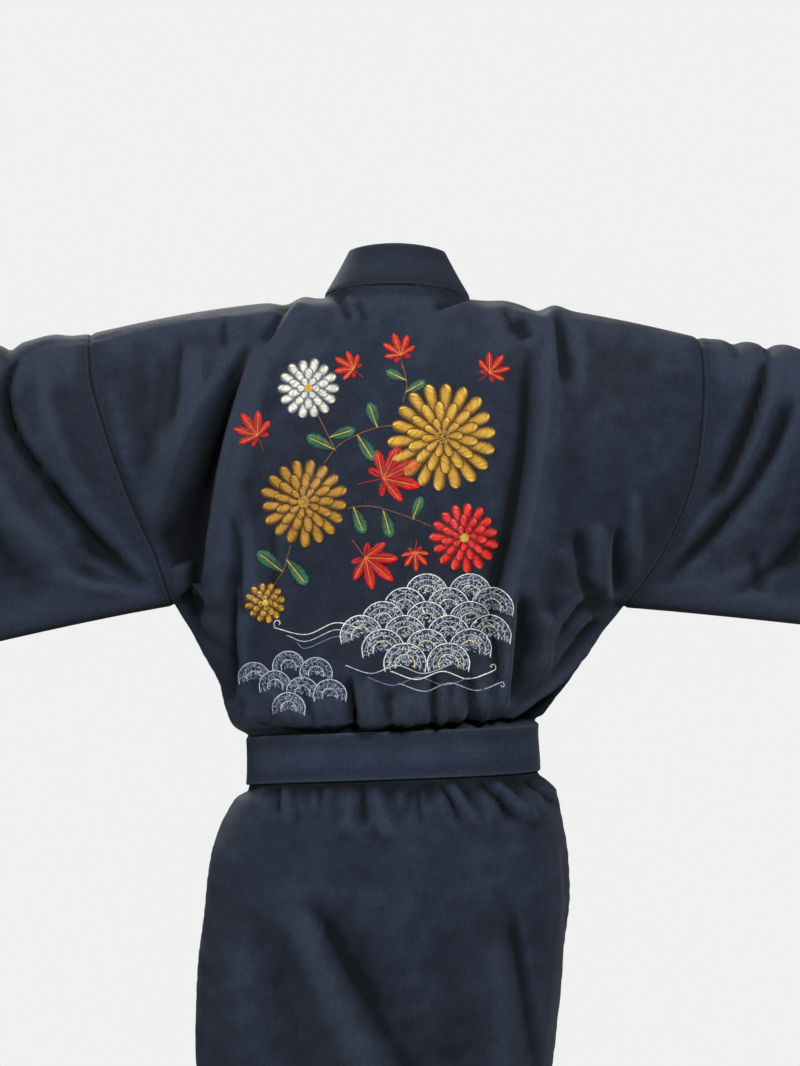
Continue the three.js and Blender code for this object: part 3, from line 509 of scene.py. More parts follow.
def plain_body(face, column, level):
    """The plain form of the body at a column from -1 (right seam) to 1 (left seam)."""
    face, column, level = np.broadcast_arrays(face, np.asarray(column, float), np.asarray(level, float))
    row = SimpleNamespace(**{name: at_level(name, level) for name in LEVELS})
    q = column * column
    middle = (q - 0.25) * (q - 1) * 4
    half = -q * (q - 1) * (16 / 3)
    edge = q * (q - 0.25) * (4 / 3)
    deep = np.where(face > 0, row.back, row.front)
    deep_half = np.where(face > 0, row.back_half, row.front_half)
    x = row.shift + row.width * column * (1 + row.turn / 2 * (1 - q))
    y = face * (deep * middle + deep_half * half + row.seam * edge)
    z = row.height + row.tilt * column + row.bow * q
    steps = sum(step.rise * bell(x, step.across, step.wide) for step in RIDGE_STEPS)
    z = z + steps * (1 - ease_between(0, 2, level))
    open_neck = np.clip(1 - (x / NECK.half_width) ** 2, 0, 1)
    near_neck = np.clip(1 - level / NECK.fade, 0, 1) ** 2
    bowl = np.where(face > 0, open_neck ** mix(0.5, 1.5, ease_between(0, 1, level)) * near_neck, 0)
    return np.stack([x, y + NECK.depth * bowl, z + NECK.rise * bowl], axis=-1)


PROBE = 0.01


def outward_at(face, column, level):
    face, column, level = np.broadcast_arrays(face, np.asarray(column, float), np.asarray(level, float))
    low, high = np.maximum(level - PROBE, 0), np.minimum(level + PROBE, HEM_LEVEL)
    inner, outer = np.maximum(column - PROBE, -1), np.minimum(column + PROBE, 1)
    down = plain_body(face, column, high) - plain_body(face, column, low)
    across = plain_body(face, outer, level) - plain_body(face, inner, level)
    return unit(np.cross(across, down) * face[..., None])


# The cloth lies smooth at its seams, at the ridge and under the belt
SMOOTH = SimpleNamespace(side_seam=0.9, arm_seam=0.95, ridge=0.9, above_belt=11.5, below_belt=13.3)


def fold_room(column, level):
    start = np.where(level > UNDERARM_LEVEL - 0.6, SMOOTH.side_seam, SMOOTH.arm_seam)
    at_side = 1 - ease_between(start, 1, np.abs(column))
    over_belt = 1 - ease_between(SMOOTH.above_belt, BELT_TOP_LEVEL, level)
    under_belt = ease_between(BELT_FOOT_LEVEL, SMOOTH.below_belt, level)
    return at_side * ease_between(0, SMOOTH.ridge, level) * np.maximum(over_belt, under_belt)


def lap_fade(column):
    return 1 - ease_between(LAP.side, 1, column)


def lap_shift(side, column, level):
    lap = LAP.over if side == LEFT else -LAP.under
    return lap * lap_fade(column * side) * ease_between(LAP.starts, LAP.full, level)


def body_point(face, column, level, side=0):
    """The worn surface of the body with its folds."""
    column, level = np.broadcast_arrays(np.asarray(column, float), np.asarray(level, float))
    point = plain_body(face, column, level)
    x, z = point[..., 0], point[..., 2]
    shift = (folds_at(BODY_CREASES[face], x, z) + unevenness(x, z, 20 + face)) * fold_room(column, level)
    if side:
        shift = shift + lap_shift(side, column, level)
    out = outward_at(face, column, level)
    at_waist = ease_between(8, 10.5, level) * (1 - ease_between(15, 17, level))
    out = unit(np.stack([out[..., 0], out[..., 1], out[..., 2] * (1 - 0.9 * at_waist)], axis=-1))
    return point + out * shift[..., None]


def column_for(across, level):
    """The column at which a level passes a given distance from the middle."""
    across, level = np.broadcast_arrays(np.asarray(across, float), np.asarray(level, float))
    shift, width, turn = (at_level(name, level) for name in ("shift", "width", "turn"))
    low, high = np.full(across.shape, -1.0), np.full(across.shape, 1.0)
    for _ in range(40):
        c = (low + high) / 2
        inside = shift + width * c * (1 + turn / 2 * (1 - c * c)) < across
        low, high = np.where(inside, c, low), np.where(inside, high, c)
    return (low + high) / 2


def edge_column(side, level):
    return column_for(side * at_level("edge", np.asarray(level, float)), level)


# Lines that run along each edge, at these distances from it, catch its seam or its hem
SEAM_LINES = (1.0, 2.2, 3.8, 6.0)
RIDGE_LINES = (1.2, 3)
HEM_LINES = (1.2, 3.2, 19.5, 21.5, 23.0, 25.0)
BAND_LINES = (1.2, 2.4, 4.0)
BELT_LINES = (0.8, 1.8, 3.2)
END_LINES = (1.2, 2.4, 4.5)
END_FOOT_LINES = (1.2, 2.4, 4, 9)


def spaced(length, near_first=(), near_last=()):
    """Shares of a length a grid step apart, with lines added near its two ends."""
    steps = np.linspace(0, 1, max(2, round(length / GRID_STEP)) + 1)
    extra = [d / length for d in near_first] + [1 - d / length for d in near_last]
    clear = 0.3 * GRID_STEP / length
    kept = [s for s in steps if s in (0, 1) or all(abs(s - e) > clear for e in extra)]
    return np.array(sorted(kept + extra))


def level_rows():
    """Levels a grid step apart down the back, halfway to its side."""
    fine = np.linspace(0, HEM_LEVEL, HEM_LEVEL * 40 + 1)
    line = plain_body(BACK, 0.5, fine)
    length = np.append(0, np.cumsum(np.linalg.norm(np.diff(line, axis=0), axis=1)))
    marks = [0, UNDERARM_LEVEL, BELT_TOP_LEVEL, BELT_FOOT_LEVEL, HEM_LEVEL]
    rows = []
    for first, last in zip(marks, marks[1:]):
        start, end = np.interp([first, last], fine, length)
        seams = RIDGE_LINES if first == 0 else ()
        hems = HEM_LINES if last == HEM_LEVEL else ()
        rows += list(np.interp(start + (end - start) * spaced(end - start, seams, hems), length, fine)[:-1])
    return np.array(rows + [HEM_LEVEL], float)


ROWS = level_rows()
ARM_ROWS = ROWS[ROWS <= UNDERARM_LEVEL + 1e-9]
SHOULDER_LENGTH = 250
NECK_ROUND = 230
ARMHOLE_FROM_MIDDLE = 280
BELT_HALF_ROUND = 430
SHOULDER_STEPS = spaced(SHOULDER_LENGTH, SEAM_LINES)
FRONT_STEPS = spaced(SHOULDER_LENGTH, SEAM_LINES, SEAM_LINES)
NECK_STEPS = np.linspace(0, 1, round(NECK_ROUND / GRID_STEP) + 1)


def lay_back():
    left = mix(LEFT, edge_column(LEFT, 0.0), SHOULDER_STEPS)
    right = mix(RIGHT, edge_column(RIGHT, 0.0), SHOULDER_STEPS)[::-1]
    neck = column_for(NECK.half_width * np.cos(math.pi * NECK_STEPS), 0.0)
    columns = np.concatenate([left, neck[1:-1], right])
    return body_point(BACK, columns[:, None], ROWS[None, :])


def lay_front(side):
    columns = mix(side, edge_column(side, ROWS)[None, :], FRONT_STEPS[:, None])
    return body_point(FRONT, columns, ROWS[None, :], side)


def lay_sleeve(side):
    """The sleeve goes round from the ridge down its back, under and up its front."""
    turn = np.concatenate([ARM_ROWS, SLEEVE_TURN - ARM_ROWS[-2:0:-1]])
    s = spaced(CUFF.reach - ARMHOLE_FROM_MIDDLE, SEAM_LINES, HEM_LINES)[:, None]
    face = np.where(turn <= UNDERARM_LEVEL, BACK, FRONT)
    level = np.minimum(turn, SLEEVE_TURN - turn)
    seam = plain_body(face, side, level)
    top = float(at_level("height", np.array(0.0)) + at_level("bow", np.array(0.0)) + side * 2)
    foot = plain_body(BACK, side, float(UNDERARM_LEVEL))[..., 2]
    share = (top - seam[:, 2]) / (top - foot)
    cuff_top = CUFF.top_left if side == LEFT else CUFF.top_right
    cuff_foot = CUFF.foot_left if side == LEFT else CUFF.foot_right
    x = side * (mix(np.abs(seam[:, 0]), CUFF.reach, s) - CUFF.slant * share * s * s)
    y = seam[:, 1] * mix(1, CUFF.fullness * mix(1, CUFF.foot_fullness, share), ease(s))
    z = mix(seam[:, 2], mix(cuff_top, cuff_foot, share), mix(s, ease(s), CUFF.sag))
    steps = sum(step.rise * bell(x, step.across, step.wide) for step in SLEEVE_STEPS)
    z = z + steps * (1 - ease_between(0.02, 0.14, share)) * ease_between(0.02, 0.1, s)
    room = (ease_between(0, 0.14, s) * (1 - 0.4 * ease_between(0.9, 1, s))
            * ease_between(0.01, 0.1, share) * (1 - ease_between(0.88, 0.98, share)))
    at_back = folds_at(SLEEVE_BACK_CREASES, x, z) + unevenness(x, z, 30)
    at_front = folds_at(SLEEVE_FRONT_CREASES, x, z) + unevenness(x, z, 31)
    y = y + room * np.where(face > 0, at_back, -at_front)
    return np.stack([x, y, z], axis=-1)


COLLAR_STEPS = spaced(COLLAR.width, BAND_LINES, BAND_LINES)


def lay_collar(back, left_front, right_front):
    """From the left hem up the front, round the neck and down to the right hem, sewn edge first."""
    c = COLLAR_STEPS[None, :]

    def front_band(side, sewn):
        level = ROWS[:, None]
        lies = ease_between(COLLAR.standing, COLLAR.lying, level)
        lean = mix(COLLAR.side_lean, math.pi / 2, lies)
        up = unit(np.stack([-side * np.sin(lean), -COLLAR.forward * lies, np.cos(lean)], axis=-1))
        standing = sewn[:, None, :] + up * (c * COLLAR.width)[..., None]
        widening = mix(1, COLLAR.widening, np.clip(level / BELT_TOP_LEVEL, 0, 1))
        across = at_level("edge", level) - c * COLLAR.width * widening
        lying = body_point(FRONT, column_for(side * across, level), level, side)
        return np.where(c[..., None] == 0, standing, mix(standing, lying, lies[..., None]))

    angle = math.pi * NECK_STEPS[1:-1, None]
    lean = mix(COLLAR.side_lean, COLLAR.back_lean, np.sin(angle))
    up = np.stack([-np.cos(angle) * np.sin(lean), -np.sin(angle) * np.sin(lean), np.cos(lean)], axis=-1)
    first = len(SHOULDER_STEPS)
    sewn = back[first:first + len(NECK_STEPS) - 2, 0]
    neck = sewn[:, None, :] + up * (c * COLLAR.width)[..., None]
    left = front_band(LEFT, left_front[-1])[::-1]
    return np.concatenate([left, neck, front_band(RIGHT, right_front[-1])])


def belt_line(face, column, down):
    """A point on the belt's outer face, down from 0 at its top edge to 1."""
    column, down = np.broadcast_arrays(np.asarray(column, float), np.asarray(down, float))
    point = plain_body(face, column, mix(BELT_TOP_LEVEL, BELT_FOOT_LEVEL, down))
    out = outward_at(face, column, (BELT_TOP_LEVEL + BELT_FOOT_LEVEL) / 2) * [1, 1, 0]
    over_lap = LAP.over * lap_fade(np.abs(column)) if face == FRONT else 0
    point = point + unit(out) * (BELT.clear + BELT.wall + over_lap + 0 * column)[..., None]
    ends = [plain_body(face, column, float(level))[..., 2] for level in (BELT_TOP_LEVEL, BELT_FOOT_LEVEL)]
    point[..., 2] = (ends[0] + ends[1]) / 2 + (0.5 - down) * BELT.height
    return point


def lay_belt():
    turns = -np.cos(math.pi * np.linspace(0, 1, round(BELT_HALF_ROUND / GRID_STEP) + 1)[:-1])
    down = spaced(BELT.height, BELT_LINES, BELT_LINES)
    points = np.concatenate([belt_line(BACK, turns[None, :], down[:, None]),
                             belt_line(FRONT, -turns[None, :], down[:, None])], axis=1)
    x, z = points[..., 0], points[..., 2]
    waver = 0.5 * np.sin(x / 23 + z / 31) + 0.4 * np.sin(x / 9 - z / 17 + 1.3)
    out = unit(points * [0.45, 1, 0])
    edge = np.minimum(down, 1 - down)[:, None] * BELT.height
    return points + out * (waver * ease_between(0, 12, edge))[..., None]


# The two ends of the belt hang from the knot
ENDS = table("name x1 x2 length turn", [
    ["belt_end_left", 10, 44, 275, 0.5],
    ["belt_end_right", -22, -58, 300, -0.4],
])


def knot_seat():
    return belt_line(FRONT, column_for(KNOT.x, float(BELT_TOP_LEVEL)), 0.5)


def lay_end(end):
    t = spaced(end.length, (), END_FOOT_LINES)[None, :]
    w = (spaced(BELT_END.width, END_LINES, END_LINES) - 0.5)[:, None]
    seat = knot_seat()
    z = seat[2] - KNOT.height / 2 + 4 - t * (end.length + 4)
    skirt = np.interp(z, LEVELS["height"][::-1], LEVELS["front"][::-1])
    clear = mix(KNOT.deep * 0.5, BELT_END.clear, ease(t / BELT_END.settles))
    crease = BELT_END.crease * bell(w * BELT_END.width, 0, BELT_END.crease_wide) * (1 - ease(t / 0.5))
    curl = end.turn * BELT_END.curl * w * (1 - t) * ease(t / 0.15)
    sway = BELT_END.ripple * np.sin(2 * math.pi * t) + BELT_END.sway * np.sin(7.3 * t + 3 * w)
    out = skirt + LAP.over + clear + sway + crease + curl
    width = BELT_END.width * mix(BELT_END.neck, 1, ease(t / BELT_END.opens))
    slope = (end.x2 - end.x1) / end.length
    x = mix(end.x1, end.x2, t) + w * width * (1 - slope ** 2 / 2)
    return np.stack([x, -out + 0 * w, z + w * width * slope], axis=-1)


class Piece:
    """One cut piece as a grid of points: i across it or along it, j down it or round it."""

    def __init__(self, name, slot, points, wall, outward, wrap=False, sewn=(), hems=(), free=(), proud=0.0):
        self.name, self.slot, self.points, self.wall, self.wrap = name, slot, points, wall, wrap
        self.sewn, self.hems, self.free, self.proud = sewn, hems, free, proud
        self.edges = ("i0", "i1") if wrap else ("i0", "i1", "j0", "j1")
        self.neck = np.ones(points.shape[0])
        self.turn = 1
        self.turn = np.sign((self.find_normals() * outward(points)).sum())

    def find_normals(self):
        points = self.points
        along = np.gradient(points, axis=0)
        if self.wrap:
            down = (np.roll(points, -1, axis=1) - np.roll(points, 1, axis=1)) / 2
        else:
            down = np.gradient(points, axis=1)
        return unit(np.cross(along, down)) * self.turn

    def lengths(self):
        """Arc length from the first line, along i and along j."""
        closed = np.concatenate([self.points, self.points[:, :1]], axis=1) if self.wrap else self.points
        steps = [np.linalg.norm(np.diff(closed, axis=axis), axis=2) for axis in (0, 1)]
        return [np.insert(np.cumsum(step, axis=axis), 0, 0, axis=axis) for axis, step in enumerate(steps)]

    def from_edge(self, edge):
        """Distance of every point from one edge, and the way along that edge."""
        along, down = (length[:, :self.points.shape[1]] for length in self.lengths())
        return {"i0": (along, down), "i1": (along[-1:] - along, down),
                "j0": (down, along), "j1": (down[:, -1:] - down, along)}[edge]

    def sewn_share(self, edge):
        """A top edge is sewn only where its neck is."""
        return self.neck[:, None] if edge == "j0" else 1

    def finish_edges(self):
        """Sinks the cloth at its seams, lets it pucker beside them, and doubles it at its hems."""
        height = np.zeros(self.points.shape[:2])
        for edge in self.sewn:
            distance, way = self.from_edge(edge)
            height -= SEAM.deep * bell(distance, 0, SEAM.wide) * self.sewn_share(edge)
            height += self.proud * (1 - bell(distance, 0, SEAM.step)) * np.exp(-distance / SEAM.proud_reach)
            if edge != "j0":
                beat = np.sin(way * 2 * math.pi / SEAM.pucker_length + 2.1 * np.sin(way / 37))
                reach = np.exp(-distance / SEAM.pucker_reach) * ease_between(1, 7, distance)
                height += SEAM.pucker * beat * reach
        for edge in self.hems:
            distance, way = self.from_edge(edge)
            height += HEM.rise * (1 - ease_between(HEM.width - 3, HEM.width + 1, distance))
            height -= HEM.sunk * bell(distance, HEM.row, HEM.row_wide)
            waver = np.sin(way / 6.5 + np.sin(way / 29))
            height += HEM.waver * waver * bell(distance, HEM.width, HEM.waver_reach)
        self.points = self.points + self.normals * height[..., None]


def share_directions(pieces):
    """Pieces that share a seam leave it in the same direction."""
    places = np.concatenate([piece.points.reshape(-1, 3) for piece in pieces])
    normals = np.concatenate([piece.find_normals().reshape(-1, 3) for piece in pieces])
    _, same = np.unique(np.round(places * 20).astype(int), axis=0, return_inverse=True)
    same = same.reshape(-1)
    total = np.zeros((same.max() + 1, 3))
    np.add.at(total, same, normals)
    shared = unit(total)[same]
    start = 0
    for piece in pieces:
        count = piece.points.shape[0] * piece.points.shape[1]
        piece.normals = shared[start:start + count].reshape(piece.points.shape)
        start += count


STORED_KINDS = {1: ("FLOAT", "value"), 3: ("FLOAT_VECTOR", "vector"), 4: ("FLOAT_COLOR", "color")}


def make_mesh(name, points, edges=(), faces=(), uvs=None, **values):
    """A mesh in metres from points in millimetres, with its corners' UVs and its points' named values."""
    mesh = bpy.data.meshes.new(name)
    mesh.from_pydata(np.asarray(points) * MM, edges, faces)
    if uvs is not None:
        mesh.uv_layers.new(name="weave").data.foreach_set("uv", np.asarray(uvs, np.float32).ravel())
    for key, numbers in values.items():
        numbers = np.asarray(numbers, np.float32).reshape(len(points), -1)
        kind, field = STORED_KINDS[numbers.shape[1]]
        mesh.attributes.new(key, kind, "POINT").data.foreach_set(field, numbers.ravel())
    mesh.polygons.foreach_set("use_smooth", [True] * len(mesh.polygons))
    mesh.update()
    return add_object(name, mesh)


def smoothed(values, wrap, rounds):
    """Averages every point of a grid with its neighbours, round after round."""
    for _ in range(rounds):
        padded = np.pad(values, ((1, 1), (0, 0), (0, 0)), mode="edge")
        values = (padded[:-2] + 2 * values + padded[2:]) / 4
        padded = np.pad(values, ((0, 0), (1, 1), (0, 0)), mode="wrap" if wrap else "edge")
        values = (padded[:, :-2] + 2 * values + padded[:, 2:]) / 4
    return values


# Fine creases stand out of the cloth smoothed a little, broad folds out of the cloth smoothed a lot, and how
# far they stand out is painted into the cloth's colour as shade and highlight
RELIEFS = table("rounds fullest share power", [[12, 1.6, 0.55, 1.2], [170, 12, 0.8, 1.7]])
SMOOTHING_ROUNDS = 6


def painted_fold_shade_of(piece):
    """How far each point stands out of the cloth round it: 1 on the sharpest ridge, -1 deep in a fold, lower
    along the seams. It is painted into the cloth's colour as shade in folds and along seams, and as a
    highlight on ridges.
    """
    relief = np.zeros(piece.points.shape[:2])
    smooth, rounds = piece.points, 0
    for scale in RELIEFS:
        smooth = smoothed(smooth, piece.wrap, scale.rounds - rounds)
        rounds = scale.rounds
        height = ((piece.points - smooth) * piece.normals).sum(axis=2)
        depth = np.clip(height / scale.fullest, -1, 1)
        relief += scale.share * np.sign(depth) * np.abs(depth) ** scale.power
    relief = np.clip(relief, -1, 1) * ease_between(4, 24, nearest_edge(piece))
    # Painted shade: a dark line along each seam
    for edge in piece.sewn:
        relief -= 0.8 * bell(piece.from_edge(edge)[0], 0, 1.5) * piece.sewn_share(edge)
    return relief


def nearest_edge(piece):
    return np.min([piece.from_edge(edge)[0] for edge in piece.edges], axis=0)


def pale_edge_and_highlight_of(piece, relief):
    """Where the cloth is paler: along its edges and beside its seams, and a little on the ridges of its folds
    as a painted highlight.
    """
    # Painted highlight: paler on the ridges of the folds
    rub = 0.22 * np.clip(relief, 0, 1) ** 2
    for edge in piece.hems + piece.free:
        rub = np.maximum(rub, np.exp(-piece.from_edge(edge)[0] / 1.8))
    for edge in piece.sewn:
        rub = np.maximum(rub, 0.16 * bell(piece.from_edge(edge)[0], 2.6, 1.6))
    return rub


def smooth_directions(piece):
    """The outward directions of the broad form, kept as they are along the piece's edges."""
    near = ease_between(0, 6, nearest_edge(piece))[..., None]
    return unit(mix(piece.normals, unit(smoothed(piece.normals, piece.wrap, SMOOTHING_ROUNDS)), near))


EDGE_LINES = {"i0": np.s_[0], "i1": np.s_[-1], "j0": np.s_[:, 0], "j1": np.s_[:, -1]}
LINES_BESIDE = {"i0": np.s_[1], "i1": np.s_[-2], "j0": np.s_[:, 1], "j1": np.s_[:, -2]}
CELL_CORNERS = (np.s_[:-1, :-1], np.s_[1:, :-1], np.s_[1:, 1:], np.s_[:-1, 1:])


def make_shell(piece):
    """A closed thin wall: the outer grid, the same grid moved inwards, and a rim round each open edge."""
    ni, nj = piece.points.shape[:2]
    count = ni * nj
    outer = piece.points.reshape(-1, 3)
    inner = (piece.points - smooth_directions(piece) * piece.wall).reshape(-1, 3)
    relief = painted_fold_shade_of(piece)
    rub = pale_edge_and_highlight_of(piece, relief).ravel()
    along, down = piece.lengths()
    lengths = np.stack([along, -down], axis=-1) * MM
    index = np.arange(count).reshape(ni, nj)
    if piece.wrap:
        index = np.concatenate([index, index[:, :1]], axis=1)
    quads = np.stack([index[corner] for corner in CELL_CORNERS], axis=-1).reshape(-1, 4)
    places = np.stack([lengths[corner] for corner in CELL_CORNERS], axis=-2).reshape(-1, 4, 2)
    faces, uvs = [quads, quads[:, ::-1] + count], [places, places[:, ::-1]]
    rim, middles = {}, []
    for edge in piece.edges:
        line, away = index[EDGE_LINES[edge]], lengths[EDGE_LINES[edge]]
        rounding = 0.5 * piece.wall if edge in piece.hems + piece.free else 0
        for place, beside in zip(line.tolist(), index[LINES_BESIDE[edge]].tolist()):
            if place not in rim:
                rim[place] = 2 * count + len(rim)
                proud = unit(outer[place] - outer[beside]) * rounding
                middles.append((outer[place] + inner[place]) / 2 + proud)
        middle = np.array([rim[place] for place in line.tolist()])
        flip = -1 if edge in ("i1", "j0") else 1
        for first, second, near, far in ((line, middle, 0, 0.5), (middle, line + count, 0.5, 1)):
            strip = np.stack([first[:-1], first[1:], second[1:], second[:-1]], axis=1)
            near_uv, far_uv = (away + [share * piece.wall * MM, 0] for share in (near, far))
            places = np.stack([near_uv[:-1], near_uv[1:], far_uv[1:], far_uv[:-1]], axis=1)
            faces.append(strip[:, ::flip])
            uvs.append(places[:, ::flip])
    points = np.concatenate([outer, inner, middles])
    faces, uvs = np.concatenate(faces), np.concatenate(uvs)
    if signed_volume(points, faces) < 0:
        faces, uvs = faces[:, ::-1], uvs[:, ::-1]
    return make_mesh(piece.name + "_cloth", points, faces=faces.tolist(), uvs=uvs,
                     rub=np.concatenate([rub, np.zeros(count), rub[list(rim)]]),
                     relief=np.append(relief, np.zeros(count + len(rim))))


def signed_volume(points, quads):
    corners = points[quads]
    first = np.cross(corners[:, 1], corners[:, 2])
    second = np.cross(corners[:, 2], corners[:, 3])
    return float((corners[:, 0] * (first + second)).sum()) / 6


def from_body(points):
    return points * [0.2, 1, 0]


def from_arm(points):
    return points * [0, 1, 1] + [0, 0, 150]


def from_front(points):
    return points * 0 + [0, -1, 0]


# Materials


def fill_in(tree, node, inputs):
    """Sets a node's inputs to plain values or links sockets to them."""
    for key, value in dict(inputs).items():
        if isinstance(value, bpy.types.NodeSocket):
            tree.links.new(value, node.inputs[key])
        else:
            node.inputs[key].default_value = value
    return node


def put(tree, kind, inputs=(), **settings):
    node = tree.nodes.new(kind)
    for key, value in settings.items():
        setattr(node, key, value)
    return fill_in(tree, node, inputs)


def maths(tree, operation, *values, clamp=False):
    node = put(tree, "ShaderNodeMath", dict(enumerate(values)), operation=operation, use_clamp=clamp)
    return node.outputs[0]


def times(tree, first, second):
    return maths(tree, "MULTIPLY", first, second)


def blend_colours(tree, factor, first, second, blend_type="MIX"):
    inputs = {0: factor, 6: first, 7: second}
    return put(tree, "ShaderNodeMix", inputs, data_type="RGBA", blend_type=blend_type).outputs[2]


def shaded(tree, colour, shade):
    """A colour made darker or lighter by a value."""
    greys = put(tree, "ShaderNodeCombineColor", {0: shade, 1: shade, 2: shade}).outputs[0]
    return blend_colours(tree, 1.0, colour, greys, "MULTIPLY")


def noise(tree, place, scale, detail, distortion=0.0):
    inputs = {"Vector": place, "Scale": scale, "Detail": detail, "Distortion": distortion}
    return put(tree, "ShaderNodeTexNoise", inputs).outputs["Fac"]


def ranged(tree, value, low, high, to_low=0.0, to_high=1.0):
    inputs = {"Value": value, "From Min": low, "From Max": high, "To Min": to_low, "To Max": to_high}
    return put(tree, "ShaderNodeMapRange", inputs).outputs[0]


def new_group(name, kind, inputs, outputs):
    """An empty node group with its named sockets, the values given to it and its output node."""
    tree = bpy.data.node_groups.new(name, kind)
    for way, sockets in (("INPUT", inputs), ("OUTPUT", outputs)):
        for socket_type, names in sockets.items():
            for socket in names.split(", "):
                tree.interface.new_socket(socket, in_out=way, socket_type="NodeSocket" + socket_type)
    return tree, tree.nodes.new("NodeGroupInput").outputs, tree.nodes.new("NodeGroupOutput")


def make_weave_group():
    """Plain weave from the cloth's own lengths: warp and weft pass over each other in turn."""
    tree, given, out = new_group(
        "plain weave", "ShaderNodeTree",
        {"Vector": "Lengths", "Float": "Threads per metre"}, {"Float": "Height, Slub"})
    split = put(tree, "ShaderNodeSeparateXYZ", {0: given["Lengths"]}).outputs
    waves = []
    for way in (0, 1):
        turns = times(tree, split[way], given["Threads per metre"])
        waves.append(maths(tree, "SINE", times(tree, turns, math.pi)))
    over = ranged(tree, times(tree, *waves), -0.25, 0.25)
    warp, weft = (maths(tree, "ABSOLUTE", wave) for wave in waves)
    under = maths(tree, "SUBTRACT", 1.0, over)
    height = maths(tree, "ADD", times(tree, warp, over), times(tree, weft, under))
    slubs = []
    for scale in ((560, 22, 1), (22, 560, 1)):
        stretched = put(tree, "ShaderNodeMapping", {"Vector": given["Lengths"], "Scale": scale}).outputs[0]
        slubs.append(noise(tree, stretched, 1.0, 2.0))
    fill_in(tree, out, {"Height": height, "Slub": times(tree, maths(tree, "ADD", *slubs), 0.5)})
    return tree


def make_shaded_cotton_group(weave):
    """Dyed cotton: its weave, slight changes of tone, fine wrinkles, paler edges, painted shade in its folds
    and along its seams, and a painted highlight on the ridges of its folds.
    """
    tree, given, out = new_group(
        "cotton with painted shade", "ShaderNodeTree",
        {"Color": "Cloth Color, Tinge Color, Rubbed Color", "Vector": "Lengths, Place",
         "Float": "Threads per metre, Rub, Relief, Roughness, Weave Depth, Wrinkle Depth"},
        {"Color": "Color", "Float": "Roughness", "Vector": "Normal"})
    place = given["Place"]
    woven = put(tree, "ShaderNodeGroup", {key: given[key] for key in ("Lengths", "Threads per metre")},
                node_tree=weave).outputs
    tinge = ranged(tree, noise(tree, place, 5.5, 3.0), 0.42, 0.72, 0.0, 0.3)
    colour = blend_colours(tree, tinge, given["Cloth Color"], given["Tinge Color"])
    slub = ranged(tree, woven["Slub"], 0.3, 0.7, 0.82, 1.18)
    grain = ranged(tree, noise(tree, place, 330.0, 3.0), 0.3, 0.7, 0.8, 1.2)
    colour = shaded(tree, colour, times(tree, slub, grain))
    # Painted shade: darker in folds and along seams, lighter on fold ridges as a painted highlight
    colour = shaded(tree, colour, ranged(tree, given["Relief"], -0.8, 0.6, 0.14, 1.22))
    # Paler along the edges and beside the seams, with a painted highlight on fold ridges
    pale_share = maths(tree, "MULTIPLY", given["Rub"], noise(tree, place, 420.0, 1.0), clamp=True)
    rough = ranged(tree, woven["Height"], 0.0, 1.0, 0.1, -0.05)
    wrinkle = times(tree, noise(tree, place, 46.0, 4.0, 1.2), given["Wrinkle Depth"])
    fine = put(tree, "ShaderNodeBump", {"Height": wrinkle, "Distance": 1.0}).outputs[0]
    deep = times(tree, woven["Height"], given["Weave Depth"])
    bump = put(tree, "ShaderNodeBump", {"Height": deep, "Distance": 1.0, "Normal": fine}).outputs[0]
    fill_in(tree, out, {"Color": blend_colours(tree, pale_share, colour, given["Rubbed Color"]),
                        "Roughness": maths(tree, "ADD", given["Roughness"], rough, clamp=True),
                        "Normal": bump})
    return tree


def make_thread_group():
    """Twisted thread in its own colour, with small changes of shade from strand to strand."""
    tree, given, out = new_group(
        "twisted thread", "ShaderNodeTree",
        {"Color": "Thread Color", "Vector": "Place", "Float": "Twist Depth"},
        {"Color": "Color", "Vector": "Normal"})
    strand = noise(tree, given["Place"], 700.0, 2.0)
    shade = ranged(tree, strand, 0.3, 0.7, 0.72, 1.15)
    twisted = times(tree, strand, given["Twist Depth"])
    bump = put(tree, "ShaderNodeBump", {"Height": twisted, "Distance": 1.0}).outputs[0]
    fill_in(tree, out, {"Color": shaded(tree, given["Thread Color"], shade), "Normal": bump})
    return tree


def start_material(name):
    material = bpy.data.materials.new(name)
    material.use_nodes = True
    return material, material.node_tree, material.node_tree.nodes["Principled BSDF"]


def stored(tree, name, output="Fac"):
    return put(tree, "ShaderNodeAttribute", attribute_name=name).outputs[output]


def make_cotton(name, group, colour, threads, roughness):
    material, tree, shader = start_material(name)
    cotton = put(tree, "ShaderNodeGroup", {
        "Cloth Color": colour, "Tinge Color": (0.014, 0.0168, 0.024, 1),
        "Rubbed Color": (0.04, 0.047, 0.064, 1),
        "Threads per metre": threads, "Roughness": roughness, "Weave Depth": 0.00006, "Wrinkle Depth": 0.0007,
        "Rub": stored(tree, "rub"), "Relief": stored(tree, "relief"),
        "Lengths": put(tree, "ShaderNodeUVMap", uv_map="weave").outputs[0],
        "Place": put(tree, "ShaderNodeTexCoord").outputs["Object"]}, node_tree=group).outputs
    fill_in(tree, shader, {
        "Base Color": cotton["Color"], "Roughness": cotton["Roughness"], "Normal": cotton["Normal"],
        "Specular IOR Level": 0.1, "Sheen Weight": 0.05, "Sheen Roughness": 0.5,
        "Sheen Tint": (0.9, 0.92, 1.0, 1)})
    return material


def make_thread(name, group, twist, roughness, sheen, colour=None):
    """Thread of one colour, or of the colour stored on each stitch."""
    material, tree, shader = start_material(name)
    thread = put(tree, "ShaderNodeGroup", {
        "Thread Color": colour or stored(tree, "thread_colour", "Color"), "Twist Depth": twist,
        "Place": put(tree, "ShaderNodeTexCoord").outputs["Object"]}, node_tree=group).outputs
    fill_in(tree, shader, {"Base Color": thread["Color"], "Normal": thread["Normal"], "Roughness": roughness,
                           "Specular IOR Level": 0.5, "Sheen Weight": sheen})
    return material


# Geometry Nodes for stitches


